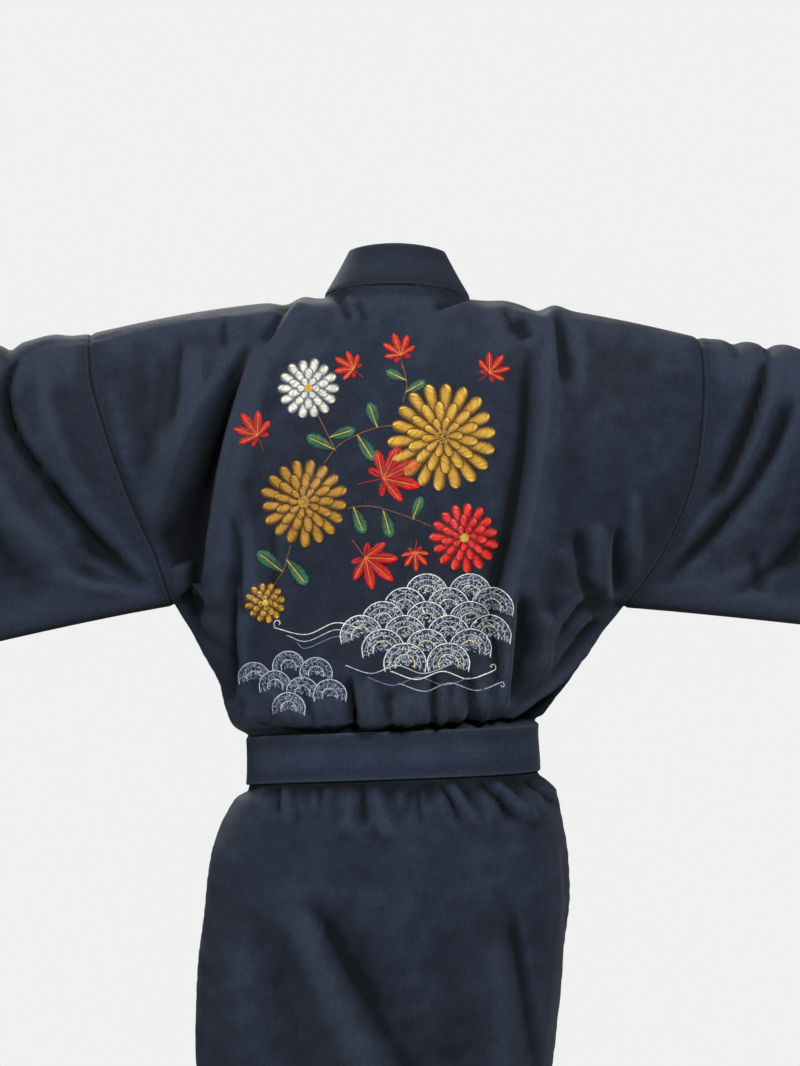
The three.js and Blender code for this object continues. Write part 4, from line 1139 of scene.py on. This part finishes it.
def strand_nodes(tree, given, length, width, height):
    """One stitch along its own Z axis, thinner at both ends and bowed out along its Y axis."""
    rod = put(tree, "GeometryNodeMeshCylinder",
              {"Vertices": given["Sides"], "Side Segments": given["Segments"], "Radius": 0.5, "Depth": 1.0},
              fill_type="NGON")
    place = put(tree, "ShaderNodeSeparateXYZ", {0: put(tree, "GeometryNodeInputPosition").outputs[0]}).outputs
    out = times(tree, times(tree, place[2], place[2]), 4.0)
    thin = maths(tree, "SQRT", maths(tree, "SUBTRACT", 1.0, times(tree, out, 0.86)))
    rise = times(tree, given["Arch"], maths(tree, "SUBTRACT", 1.0, out))
    bowed = maths(tree, "ADD", times(tree, place[1], thin), rise)
    shaped = put(tree, "ShaderNodeCombineXYZ", {0: times(tree, place[0], thin), 1: bowed, 2: place[2]})
    moved = put(tree, "GeometryNodeSetPosition",
                {"Geometry": rod.outputs["Mesh"], "Position": shaped.outputs[0]})
    scale = put(tree, "ShaderNodeCombineXYZ", {0: width, 1: height, 2: length})
    return moved.outputs[0], scale.outputs[0]


def named(tree, name, data_type):
    node = put(tree, "GeometryNodeInputNamedAttribute", {"Name": name}, data_type=data_type)
    return node.outputs["Attribute"]


def lay_strands(tree, given, out, points, along, strand, scale):
    """Instances of the strand, turned along their line with the cloth's outward side up, made real."""
    turned = put(tree, "FunctionNodeAlignRotationToVector", {"Vector": along}, axis="Z").outputs[0]
    turned = put(tree, "FunctionNodeAlignRotationToVector",
                 {"Rotation": turned, "Vector": named(tree, "up", "FLOAT_VECTOR")}, axis="Y", pivot_axis="Z")
    placed = put(tree, "GeometryNodeInstanceOnPoints",
                 {"Points": points, "Instance": strand, "Rotation": turned.outputs[0], "Scale": scale})
    real = put(tree, "GeometryNodeRealizeInstances", {"Geometry": placed.outputs[0]})
    smooth = put(tree, "GeometryNodeSetShadeSmooth", {"Geometry": real.outputs[0]})
    finished = put(tree, "GeometryNodeSetMaterial",
                   {"Geometry": smooth.outputs[0], "Material": given["Thread"]})
    fill_in(tree, out, {"Geometry": finished.outputs[0]})
    return tree


def new_stitch_tree(name):
    return new_group(name, "GeometryNodeTree",
                     {"Geometry": "Geometry", "Int": "Sides, Segments",
                      "Float": "Arch, Width, Height, Stitch, Pitch", "Material": "Thread"},
                     {"Geometry": "Geometry"})


def make_sewing_tree():
    """Running stitches a pitch apart along every line of the mesh."""
    tree, given, out = new_stitch_tree("sewing rows")
    strand, scale = strand_nodes(tree, given, given["Stitch"], given["Width"], given["Height"])
    line = put(tree, "GeometryNodeMeshToCurve", {"Mesh": given["Geometry"]}).outputs[0]
    marks = put(tree, "GeometryNodeResampleCurve", {"Curve": line, "Length": given["Pitch"]}, mode="LENGTH")
    tangent = put(tree, "GeometryNodeInputTangent").outputs[0]
    return lay_strands(tree, given, out, marks.outputs[0], tangent, strand, scale)


def make_satin_tree():
    """One strand on each point, as long and as wide as its point says."""
    tree, given, out = new_stitch_tree("satin strands")
    along = named(tree, "along", "FLOAT_VECTOR")
    length = put(tree, "ShaderNodeVectorMath", {0: along}, operation="LENGTH").outputs["Value"]
    thick = named(tree, "thick", "FLOAT")
    strand, scale = strand_nodes(tree, given, length, times(tree, thick, given["Width"]),
                                 times(tree, thick, given["Height"]))
    cloud = put(tree, "GeometryNodeMeshToPoints", {"Mesh": given["Geometry"]})
    return lay_strands(tree, given, out, cloud.outputs[0], along, strand, scale)


def grow(obj, tree, **values):
    """Runs the tree on the object and keeps the result as its plain mesh."""
    modifier = obj.modifiers.new("stitches", "NODES")
    modifier.node_group = tree
    keys = {item.name: item.identifier for item in tree.interface.items_tree if item.in_out == "INPUT"}
    for name, value in values.items():
        modifier[keys[name]] = value
    graph = bpy.context.evaluated_depsgraph_get()
    mesh = bpy.data.meshes.new_from_object(obj.evaluated_get(graph), depsgraph=graph)
    obj.modifiers.clear()
    obj.data = mesh
    return obj


def line_inset(piece, edge, distance, lift=0.1):
    """A line on the piece that keeps one distance from an edge, with the outward directions on it."""
    away, points, normals = piece.from_edge(edge)[0], piece.points, piece.normals
    if edge[0] == "j":
        away, points, normals = away.T, points.transpose(1, 0, 2), normals.transpose(1, 0, 2)
    if edge[1] == "1":
        away, points, normals = away[::-1], points[::-1], normals[::-1]
    line, ups = (np.array([[np.interp(distance, away[:, k], values[:, k, axis]) for axis in range(3)]
                           for k in range(away.shape[1])]) for values in (points, normals))
    ups = unit(ups)
    if piece.wrap and edge[0] == "i":
        line, ups = np.concatenate([line, line[:1]]), np.concatenate([ups, ups[:1]])
    return line + ups * lift, ups


STITCH = SimpleNamespace(length=2.3, pitch=3.3, width=0.5, height=0.4, arch=0.35)


def sew(name, lines, tree, thread):
    """Rows of running stitches along lines."""
    starts = np.cumsum([0] + [len(line) for line, _ in lines]).tolist()
    edges = [(k, k + 1) for first, last in zip(starts, starts[1:]) for k in range(first, last - 1)]
    rows = make_mesh(name, np.concatenate([line for line, _ in lines]), edges,
                     up=np.concatenate([up for _, up in lines]))
    return grow(rows, tree, Sides=3, Segments=2, Arch=STITCH.arch, Stitch=STITCH.length * MM,
                Pitch=STITCH.pitch * MM, Width=STITCH.width * MM, Height=STITCH.height * MM, Thread=thread)


# Embroidery, drawn on the back in millimetres: p to the right as seen, q up, from the middle of its place
EMBROIDERY = SimpleNamespace(x=18, z=-227, pitch=0.8, lift=0.2, arch=0.2, width=1.0, height=0.5)
GOLD, PALE_GOLD, OCHRE = (0.46, 0.235, 0.018), (0.7, 0.44, 0.05), (0.17, 0.075, 0.008)
RED, DEEP_RED = (0.66, 0.006, 0.008), (0.27, 0.002, 0.005)
WHITE, CREAM, SILVER = (0.72, 0.72, 0.7), (0.7, 0.62, 0.4), (0.42, 0.46, 0.55)
GREY_BLUE, DARK_BLUE = (0.13, 0.165, 0.25), (0.05, 0.065, 0.13)
GREEN, DARK_GREEN = (0.035, 0.17, 0.09), (0.012, 0.06, 0.04)
BROWN, AMBER = (0.12, 0.05, 0.015), (0.75, 0.2, 0.03)


def left_of(direction):
    return np.array([-direction[1], direction[0]])


class Threads:
    """The strands of the embroidery: two ends each on the picture plane, a colour and a layer."""

    def __init__(self, seed):
        self.rng = np.random.default_rng(seed)
        self.strands = []

    def add(self, start, end, colour, layer=0.0, thick=1.0):
        shade = self.rng.uniform(0.68, 1.2)
        self.strands.append((start, end, [c * shade for c in colour], layer, thick))


def satin_petal(threads, base, direction, length, width, colours, layer):
    """A spoon-shaped petal of satin stitches laid across it, darker at its base, with a dark outline."""
    side = left_of(direction)
    deep, middle, tip, outline = (np.array(colour) for colour in colours)

    def half_width(t):
        return width / 2 * (0.34 + 0.66 * t ** 0.8) * math.sqrt(max(0.0, 1 - t ** 5))

    steps = max(4, round(length / EMBROIDERY.pitch))
    for k in range(steps):
        t = (k + 0.5) / steps
        lean = 0.75 * half_width(t) / length
        ends = [min(max(t + way * lean, 0), 0.985) for way in (-1, 1)]
        shade = mix(deep, middle, min(1, t * 2)) if t < 0.5 else mix(middle, tip, (t - 0.5) * 1.7)
        start, end = (base + direction * length * at
                      + side * way * half_width(at) * threads.rng.uniform(0.95, 1.05)
                      for way, at in zip((-1, 1), ends))
        threads.add(start, end, shade, layer)
    ways = [(t, -1) for t in (0.05, 0.4, 0.75, 0.93)] + [(1.0, 0)] + [(t, 1) for t in (0.93, 0.75, 0.4, 0.05)]
    rim = [base + direction * length * t + side * way * (half_width(t) + 0.3) for t, way in ways]
    stem_line(threads, rim, outline, 0.75, layer + 0.3, gap=2.2)


HEART_KNOTS = 34
GOLDEN_ANGLE = 2.4


def chrysanthemum(threads, centre, radius, petals, colours, turn=0.0):
    """Three rings of petals, the inner ones over the outer, round a heart of knots."""
    rings = table("near far count layer", [
        [0.4, 1.0, petals, 0.0], [0.12, 0.68, petals - 4, 0.4], [0.08, 0.38, petals - 8, 0.8],
    ])
    for number, ring in enumerate(rings):
        for k in range(ring.count):
            direction = heading(turn + 2 * math.pi * (k + 0.5 * (number % 2)) / ring.count)
            length = radius * (ring.far * threads.rng.uniform(0.95, 1.02) - ring.near)
            width = 2 * math.pi * radius * ring.far * 0.8 / ring.count
            satin_petal(threads, centre + direction * radius * ring.near, direction, length, width, colours,
                        ring.layer)
    for k in range(HEART_KNOTS):
        spot = centre + radius * 0.13 * math.sqrt(k / HEART_KNOTS) * heading(k * GOLDEN_ANGLE)
        threads.add(spot - [0.9, 0], spot + [0.9, 0.3], PALE_GOLD, 1.8, 1.5)


def vein_leaf(threads, base, direction, length, width, colours, layer=0.0, vein=None):
    """A pointed leaf or lobe: strands run from its middle rib to its edges."""
    side = left_of(direction)
    steps = max(4, round(length / (EMBROIDERY.pitch * 1.15)))
    for k in range(steps):
        t = (k + 0.3) / steps
        half = width / 2 * math.sin(math.pi * min(1, t * 0.93 + 0.05)) ** 0.8 * threads.rng.uniform(0.85, 1.1)
        rib = base + direction * length * t
        shade = mix(np.array(colours[0]), np.array(colours[1]), t)
        for way in (-1, 1):
            tip = rib + direction * half * 0.7 + side * way * half
            threads.add(rib, tip, shade, layer)
    if vein is not None:
        stem_line(threads, [base, base + direction * length * 0.45, base + direction * length * 0.9],
                  vein, 0.75, layer + 0.4)


def maple_leaf(threads, centre, size, turn):
    lobes = table("angle reach width", [
        [0, 1, 0.32], [0.66, 0.9, 0.3], [-0.66, 0.9, 0.3], [1.34, 0.7, 0.24], [-1.34, 0.7, 0.24],
        [2.1, 0.42, 0.17], [-2.1, 0.42, 0.17],
    ])
    for lobe in lobes:
        vein_leaf(threads, centre, heading(turn + lobe.angle), size * lobe.reach, size * lobe.width * 1.1,
                  (DEEP_RED, RED), 0.1, vein=AMBER if lobe.reach > 0.6 else None)
    tail = heading(turn + 2.9)
    stem_line(threads, [centre, centre + tail * size * 0.3, centre + tail * size * 0.62], DEEP_RED, 1.0, 0.1)


def curve_points(corners, gap):
    """Points a gap apart on a smooth line through three or more corners."""
    corners = np.array(corners, float)
    padded = np.concatenate([2 * corners[:1] - corners[1:2], corners, 2 * corners[-1:] - corners[-2:-1]])
    fine = []
    for a, b, c, d in zip(padded, padded[1:], padded[2:], padded[3:]):
        for t in np.linspace(0, 1, 16, endpoint=False):
            fine.append(0.5 * (2 * b + (c - a) * t + (2 * a - 5 * b + 4 * c - d) * t ** 2
                               + (3 * b - a - 3 * c + d) * t ** 3))
    fine = np.array(fine + [corners[-1]])
    length = np.append(0, np.cumsum(np.linalg.norm(np.diff(fine, axis=0), axis=1)))
    marks = np.linspace(0, length[-1], max(2, round(length[-1] / gap)) + 1)
    return np.stack([np.interp(marks, length, fine[:, axis]) for axis in range(fine.shape[1])], axis=1)


def stem_line(threads, corners, colour, thick, layer=0.0, hidden=None, gap=1.6):
    """A rope-like line of short slanting stitches."""
    points = curve_points(corners, gap)
    for a, b in zip(points, points[1:]):
        if hidden is not None and hidden((a + b) / 2):
            continue
        step = b - a
        slant = left_of(step) * 0.3
        threads.add(a - step * 0.55 - slant, b + step * 0.55 + slant, colour, layer, thick)


def wave_field(threads, centres, radius, line_colours, fill_colours, density):
    """Overlapping round waves: nested arcs over a fill of short scattered stitches.
    Each wave hides what lies behind it, so the rows in front come last."""
    centres = [np.array(c, float) for c in centres]
    for k, centre in enumerate(centres):
        in_front = centres[k + 1:]

        def hidden(point, in_front=in_front):
            return any(np.hypot(*(point - c)) < radius + 0.6 for c in in_front)

        for ring, share in enumerate((0.98, 0.72, 0.46)):
            arc = [centre + radius * share * heading(a) for a in np.linspace(-0.35, math.pi + 0.35, 9)]
            stem_line(threads, arc, line_colours[ring], 1.15 if ring == 0 else 0.85, 0.3, hidden)
        for _ in range(round(density * radius ** 2)):
            away = radius * 0.94 * math.sqrt(threads.rng.uniform())
            spot = centre + away * heading(threads.rng.uniform(-0.3, math.pi + 0.3))
            if hidden(spot):
                continue
            way = heading(threads.rng.uniform(0, math.pi))
            half = threads.rng.uniform(0.9, 1.7) * way
            colour = fill_colours[threads.rng.integers(len(fill_colours))]
            threads.add(spot - half, spot + half, colour, threads.rng.uniform(0, 0.15), 0.8)


def flowing_line(threads, corners, colour, thick, curl=0.0):
    """A line of flowing water that ends in a small curl of the given radius."""
    corners = [np.array(c, float) for c in corners]
    if curl:
        way = corners[-1] - corners[-2]
        course = math.atan2(way[1], way[0])
        turned = math.copysign(1, curl)
        middle = corners[-1] + abs(curl) * heading(course + turned * math.pi / 2)
        for k in range(1, 8):
            angle = course - turned * math.pi / 2 + turned * k * 0.75
            corners.append(middle + abs(curl) * (1 - 0.1 * k) * heading(angle))
    stem_line(threads, corners, colour, thick, 0.1)


def draw_flowers(threads):
    golden = (OCHRE, GOLD, PALE_GOLD, (0.085, 0.036, 0.005))
    amber = ((0.14, 0.06, 0.01), (0.4, 0.2, 0.02), GOLD, (0.06, 0.025, 0.004))
    white = ((0.3, 0.33, 0.4), WHITE, CREAM, (0.12, 0.13, 0.17))
    scarlet = (DEEP_RED, RED, (0.85, 0.07, 0.04), (0.1, 0.002, 0.004))
    flowers = table("p q radius petals colours turn", [
        [64, 76, 55, 18, golden, 0.1], [-76, 10, 45, 17, amber, 0.3], [86, -26, 35, 15, scarlet, 0.2],
        [-72, 126, 31, 14, white, 0.0], [-116, -92, 21, 12, golden, 0.2],
    ])
    for flower in flowers:
        chrysanthemum(threads, np.array([flower.p, flower.q]), flower.radius, flower.petals, flower.colours,
                      flower.turn)


def draw_leaves(threads):
    stems = [
        [(-108, -76), (-97, -58), (-90, -34)],
        [(-56, 50), (-38, 70), (-8, 84), (14, 88)],
        [(-32, 4), (-8, 6), (24, -3), (52, -14)],
        [(-44, 62), (-54, 82), (-62, 98)],
        [(24, 112), (28, 128), (24, 150)],
    ]
    for corners in stems:
        stem_line(threads, corners, BROWN, 1.5, 0.0)
    leaves = table("p q angle length width", [
        [-98, -60, 2.5, 32, 16], [-94, -48, -0.9, 32, 16], [-22, 78, -1.0, 30, 15], [-46, 64, 2.7, 30, 15],
        [-2, 86, 1.9, 26, 13], [4, 2, -1.3, 28, 14], [34, -7, 1.2, 24, 12], [-50, 76, 0.3, 26, 13],
        [27, 122, 0.5, 22, 11], [27, 134, 2.7, 22, 11], [-26, 5, -1.2, 28, 14],
    ])
    for leaf in leaves:
        vein_leaf(threads, np.array([leaf.p, leaf.q]), heading(leaf.angle), leaf.length, leaf.width,
                  (DARK_GREEN, GREEN), 0.1, vein=PALE_GOLD)
    maples = table("p q size turn", [
        [4, 34, 42, 0.45], [22, 160, 24, 1.9], [-14, -46, 36, -0.7], [-124, 78, 28, 2.2], [112, 142, 24, 0.9],
        [-26, 146, 22, 2.6], [36, -40, 20, -1.5],
    ])
    for maple in maples:
        maple_leaf(threads, np.array([maple.p, maple.q]), maple.size, maple.turn)


def draw_waves(threads):
    """Round waves over flowing water, and a dimmer group below to the left."""
    rows = [(-84, (48, 92)), (-98, (26, 70, 114)), (-112, (4, 48, 92)), (-126, (-18, 26, 70, 112)),
            (-140, (4, 48, 92)), (-154, (26, 70))]
    waves = [(p, q) for q, places in rows for p in places]
    for k in range(4):
        low, start = -159 - 6 * k, (-34, 12, -12, 20)[k]
        corners = [(start + 26 * n, low + 4 * (-1) ** n) for n in range(5)]
        flowing_line(threads, corners, (SILVER, WHITE, GREY_BLUE, SILVER)[k], (0.85, 1.0, 0.8, 0.8)[k],
                     (3.6, 4, 0, -3)[k])
    for k in range(3):
        flowing_line(threads, [(-18 - 6 * k, -118 - 7 * k), (-44, -112 - 7 * k), (-74, -124 - 7 * k),
                               (-104 + 10 * k, -118 - 7 * k)],
                     (WHITE, SILVER, GREY_BLUE)[k], 0.85, (-5, 0, 0)[k])
    wave_field(threads, waves, 22, (WHITE, SILVER, CREAM), (SILVER, GREY_BLUE, DARK_BLUE, WHITE), 0.85)
    small = [(-92, -158), (-64, -164), (-128, -170), (-106, -178), (-78, -184), (-50, -186), (-92, -200)]
    wave_field(threads, small, 17, (SILVER, GREY_BLUE, SILVER), (GREY_BLUE, DARK_BLUE, SILVER), 0.95)


WELL_BEHIND = 400.0


def embroider(name, draw, segments, back, tree, thread):
    """Lays the strands of one drawing on the worn surface of the back."""
    threads = Threads(len(name))
    draw(threads)
    ni, nj = back.points.shape[:2]
    index = np.arange(ni * nj).reshape(ni, nj)
    quads = np.stack([index[corner] for corner in CELL_CORNERS], axis=-1).reshape(-1, 4)
    surface = BVHTree.FromPolygons(back.points.reshape(-1, 3).tolist(), quads.tolist())

    def on_cloth(spot):
        start = Vector((EMBROIDERY.x - spot[0], WELL_BEHIND, EMBROIDERY.z + spot[1]))
        hit, normal, _, _ = surface.ray_cast(start, Vector((0, -1, 0)))
        return np.array(hit), np.array(normal if normal.y > 0 else -normal)

    places, alongs, ups = [], [], []
    for start, end, _, layer, _ in threads.strands:
        (a, out_a), (b, out_b) = on_cloth(start), on_cloth(end)
        up = unit(out_a + out_b)
        middle, _ = on_cloth((np.array(start) + np.array(end)) / 2)
        bulge = max(0.0, float(((middle - (a + b) / 2) * up).sum()))
        places.append((a + b) / 2 + up * (EMBROIDERY.lift + bulge + layer))
        alongs.append((b - a) * MM)
        ups.append(up)
    marks = make_mesh(name, places, along=alongs, up=ups, thick=[strand[4] for strand in threads.strands],
                      thread_colour=[[*strand[2], 1] for strand in threads.strands])
    return grow(marks, tree, Sides=3, Segments=segments, Arch=EMBROIDERY.arch, Width=EMBROIDERY.width * MM,
                Height=EMBROIDERY.height * MM, Thread=thread)


# The knot: folded cloth wound over itself


RIBBON = SimpleNamespace(step=1.6, sides=20, pinch=0.25, pinch_wide=0.16, waver=0.35)


def ribbon(path, widths, thick, facing):
    """A folded band swept along a path: a flattened ring of points at each step, closed at both ends."""
    line = curve_points(path, RIBBON.step)
    t = np.linspace(0, 1, len(line))
    wide = np.interp(t, np.linspace(0, 1, len(widths)), widths)
    outs = np.stack([np.interp(t, np.linspace(0, 1, len(facing)), [way[axis] for way in facing])
                     for axis in range(3)], axis=1)
    tangent = unit(np.gradient(line, axis=0))
    side = unit(np.cross(tangent, outs))
    out = np.cross(side, tangent)
    n = RIBBON.sides
    around = np.linspace(0, 2 * math.pi, n + 1)[:-1]
    cos, sin = np.cos(around), np.sin(around)
    rings = []
    for k, centre in enumerate(line):
        along = np.sign(cos) * np.abs(cos) ** 0.8 * wide[k] / 2
        crease = 1 - RIBBON.pinch * bell(along, 0, wide[k] * RIBBON.pinch_wide)
        high = np.sign(sin) * np.abs(sin) ** 0.75 * thick / 2 * crease
        high = high + RIBBON.waver * np.sin(along * 0.7 + k * 0.21)
        rings.append(centre + along[:, None] * side[k] + high[:, None] * out[k])
    points = np.concatenate(rings + [line[:1], line[-1:]])
    faces, uvs = [], []
    for k in range(len(line) - 1):
        for a in range(n):
            corners = ((k, a), (k, a + 1), (k + 1, a + 1), (k + 1, a))
            faces.append([ring * n + place % n for ring, place in corners])
            uvs += [(place * wide[ring] * 2 / n * MM, ring * RIBBON.step * MM) for ring, place in corners]
    for ring, cap, way in ((0, len(points) - 2, 1), (len(line) - 1, len(points) - 1, -1)):
        for a in range(n):
            faces.append([ring * n + a, cap, ring * n + (a + 1) % n][::way])
            uvs += [(0, 0)] * 3
    return points, faces, uvs


def make_knot():
    """A square knot: two wraps of the belt cross in front, a third binds them from above, and the
    belt runs through behind them."""
    seat = knot_seat()
    toward = [0, -1, 0]
    bands = [
        ([(-24, 1, 7), (-12, 6, 9), (4, 10, 2), (14, 9, -14), (17, 7, -29)], [26, 24, 25, 22, 21], 5.2,
         [toward, [0.2, -1, 0.2], [0.3, -1, 0.2], [0.3, -1, 0], toward]),
        ([(24, 1, 6), (13, 9, 10), (-3, 14.5, 1), (-13, 11, -15), (-17, 7, -29)], [26, 25, 27, 22, 21], 5.4,
         [toward, [-0.2, -1, 0.3], [-0.3, -1, 0.2], [-0.3, -1, 0], toward]),
        ([(-2, 1.5, 12), (-1, 3, 27), (0, 11, 27), (2, 15.5, 12), (4, 10, -8), (3, 3, -16)],
         [22, 23, 26, 26, 22, 18], 4.6,
         [[0, 0, 1], [0, 0.2, 1], [0, -1, 1], [0, -1, 0.2], [0, -1, -0.2], [0, -1, -0.4]]),
        ([(-21, 1.5, 1), (-8, 4.5, 2), (8, 4.5, 0), (21, 1.5, 0)], [34, 40, 40, 34], 6.5, [toward] * 4),
    ]
    points, faces, uvs = np.empty((0, 3)), [], []
    for path, widths, thick, facing in bands:
        route = [[KNOT.x + across, seat[1] - out, seat[2] + up] for across, out, up in path]
        band_points, band_faces, band_uvs = ribbon(route, widths, thick, facing)
        faces += [[len(points) + index for index in face] for face in band_faces]
        uvs += band_uvs
        points = np.concatenate([points, band_points])
    knot = make_mesh("belt_knot_cloth", points, faces=faces, uvs=uvs, rub=np.full(len(points), 0.12),
                     relief=np.zeros(len(points)))
    work = bmesh.new()
    work.from_mesh(knot.data)
    bmesh.ops.recalc_face_normals(work, faces=work.faces)
    work.to_mesh(knot.data)
    work.free()
    return knot


def cut_robe():
    """The six pieces of the robe itself, sewn to each other along their seams."""
    back_points = lay_back()
    back = Piece("back", "coat_cotton", back_points, CLOTH, from_body, sewn=("i0", "i1", "j0"), hems=("j1",))
    back.neck[:] = 0
    back.neck[len(SHOULDER_STEPS) - 1:len(SHOULDER_STEPS) + len(NECK_STEPS) - 1] = 1
    fronts = [Piece(name, "coat_cotton", lay_front(side), CLOTH, from_body, sewn=("i0", "i1"), hems=("j1",))
              for name, side in (("front_left", LEFT), ("front_right", RIGHT))]
    collar = Piece("collar", "collar_cotton", lay_collar(back_points, *[front.points for front in fronts]),
                   BAND, from_body, sewn=("j0",), free=("i0", "i1", "j1"), proud=1.6)
    sleeves = [Piece(name, "coat_cotton", lay_sleeve(side), CLOTH, from_arm, wrap=True, sewn=("i0",),
                     hems=("i1",)) for name, side in (("sleeve_left", LEFT), ("sleeve_right", RIGHT))]
    pieces = [back, *fronts, *sleeves, collar]
    share_directions(pieces)
    for piece in pieces:
        piece.finish_edges()
    share_directions(pieces)
    return pieces


def cut_belt():
    belt = Piece("belt", "belt_cotton", lay_belt(), BELT.wall, from_body, wrap=True, free=("i0", "i1"))
    pieces = [belt] + [Piece(end.name, "belt_cotton", lay_end(end), BELT.wall, from_front,
                             free=("i0", "i1", "j0", "j1")) for end in ENDS]
    for piece in pieces:
        share_directions([piece])
    return pieces


def finish(obj, material=None, node=None):
    """Gives a piece its slot and its material, and lets it ride with the robe."""
    if material is not None:
        obj.data.materials.append(material)
    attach(obj, "root")
    if node:
        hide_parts(node)
    return obj


def build():
    # The cotton group paints shade into folds and along seams, and a highlight onto fold ridges
    worn, twisted = make_shaded_cotton_group(make_weave_group()), make_thread_group()
    cottons = {
        "coat_cotton": make_cotton("coat cotton", worn, (0.0108, 0.0158, 0.028, 1), 1900, 0.86),
        # The collar's cotton is darker than the coat's: a painted shadow
        "collar_cotton": make_cotton("collar cotton darkened by painted shadow", worn, (0.0092, 0.0135, 0.024, 1), 1900, 0.84),
        "belt_cotton": make_cotton("belt cotton", worn, (0.0125, 0.019, 0.0335, 1), 1700, 0.86),
    }
    sewing_thread = make_thread("sewing thread", twisted, 0.0001, 0.7, 0.05, (0.019, 0.0235, 0.034, 1))
    silk = make_thread("embroidery thread", twisted, 0.0002, 0.42, 0.0)
    sewing, satin = make_sewing_tree(), make_satin_tree()

    robe, belt_pieces = cut_robe(), cut_belt()
    back, front_left, front_right, sleeve_left, sleeve_right, collar = robe
    belt, *ends = belt_pieces
    made = {piece.name: finish(make_shell(piece), cottons[piece.slot], piece.name)
            for piece in robe + belt_pieces}
    knot = finish(make_knot(), cottons["belt_cotton"], "belt_knot")

    hem_row = HEM.width - 2.5
    rows = {
        "coat_stitching": [line_inset(piece, "j1", hem_row) for piece in (back, front_left, front_right)]
        + [line_inset(piece, "i1", hem_row) for piece in (sleeve_left, sleeve_right)]
        + [line_inset(piece, "i0", inset) for piece in (sleeve_left, sleeve_right) for inset in (3.0, 8.5)],
        "collar_stitching": [line_inset(collar, edge, 2.6) for edge in ("j0", "j1")],
        "belt_stitching": [line_inset(belt, "i0", inset) for inset in BELT.rows]
        + [line_inset(piece, edge, 2.4) for piece in ends for edge in ("i0", "i1", "j1")],
    }
    stitching = {name: finish(sew(name, lines, sewing, sewing_thread))
                 for name, lines in rows.items()}
    drawings = (("embroidered_waves", draw_waves, 2), ("embroidered_leaves", draw_leaves, 3),
                ("embroidered_flowers", draw_flowers, 3))
    picture = [finish(embroider(name, draw, segments, back, satin, silk))
               for name, draw, segments in drawings]


# A plain pale floor and soft studio light

FLOOR = SimpleNamespace(height=-1.45, radius=3.0, corners=96)


def make_floor():
    turns = 2 * math.pi * np.arange(FLOOR.corners) / FLOOR.corners
    rim = [(*(FLOOR.radius * heading(turn)), FLOOR.height) for turn in turns]
    mesh = bpy.data.meshes.new("floor")
    mesh.from_pydata(rim, [], [list(range(FLOOR.corners))])
    material, tree, shader = start_material("pale floor")
    seen = put(tree, "ShaderNodeLightPath").outputs["Is Camera Ray"]
    shade = blend_colours(tree, seen, (0.22, 0.22, 0.22, 1), (0.42, 0.42, 0.42, 1))
    fill_in(tree, shader, {"Base Color": shade, "Roughness": 0.9})
    mesh.materials.append(material)
    add_object("floor", mesh)


def soft_light(name, place, size, watts, colour):
    data = bpy.data.lights.new(name, "AREA")
    data.shape = "DISK"
    data.size = size
    data.energy = watts
    data.color = colour
    aim(name, data, place)


def light_studio():
    world = bpy.data.worlds.new("studio")
    world.use_nodes = True
    tree = world.node_tree
    shown = put(tree, "ShaderNodeBackground", {"Color": (0.871, 0.871, 0.871, 1), "Strength": 1.0})
    lit = put(tree, "ShaderNodeBackground", {"Color": (0.9, 0.95, 1.0, 1), "Strength": 0.055})
    seen = put(tree, "ShaderNodeLightPath").outputs["Is Camera Ray"]
    both = put(tree, "ShaderNodeMixShader", {0: seen, 1: lit.outputs[0], 2: shown.outputs[0]})
    tree.links.new(both.outputs[0], tree.nodes["World Output"].inputs["Surface"])
    bpy.context.scene.world = world
    soft_light("overhead", (-0.1, 0.6, 2.2), 0.9, 16, (1.0, 0.76, 0.42))
    soft_light("key", (-1.1, 3.0, 1.3), 0.8, 178, (0.98, 0.99, 1.0))
    soft_light("fill", (2.7, 2.0, 0.5), 0.9, 84, (0.93, 0.96, 1.0))
    soft_light("front", (0.8, -2.8, 1.7), 1.2, 150, (1.0, 0.99, 0.97))
    bpy.context.scene.view_settings.view_transform = "Standard"


make_floor()
light_studio()
build()
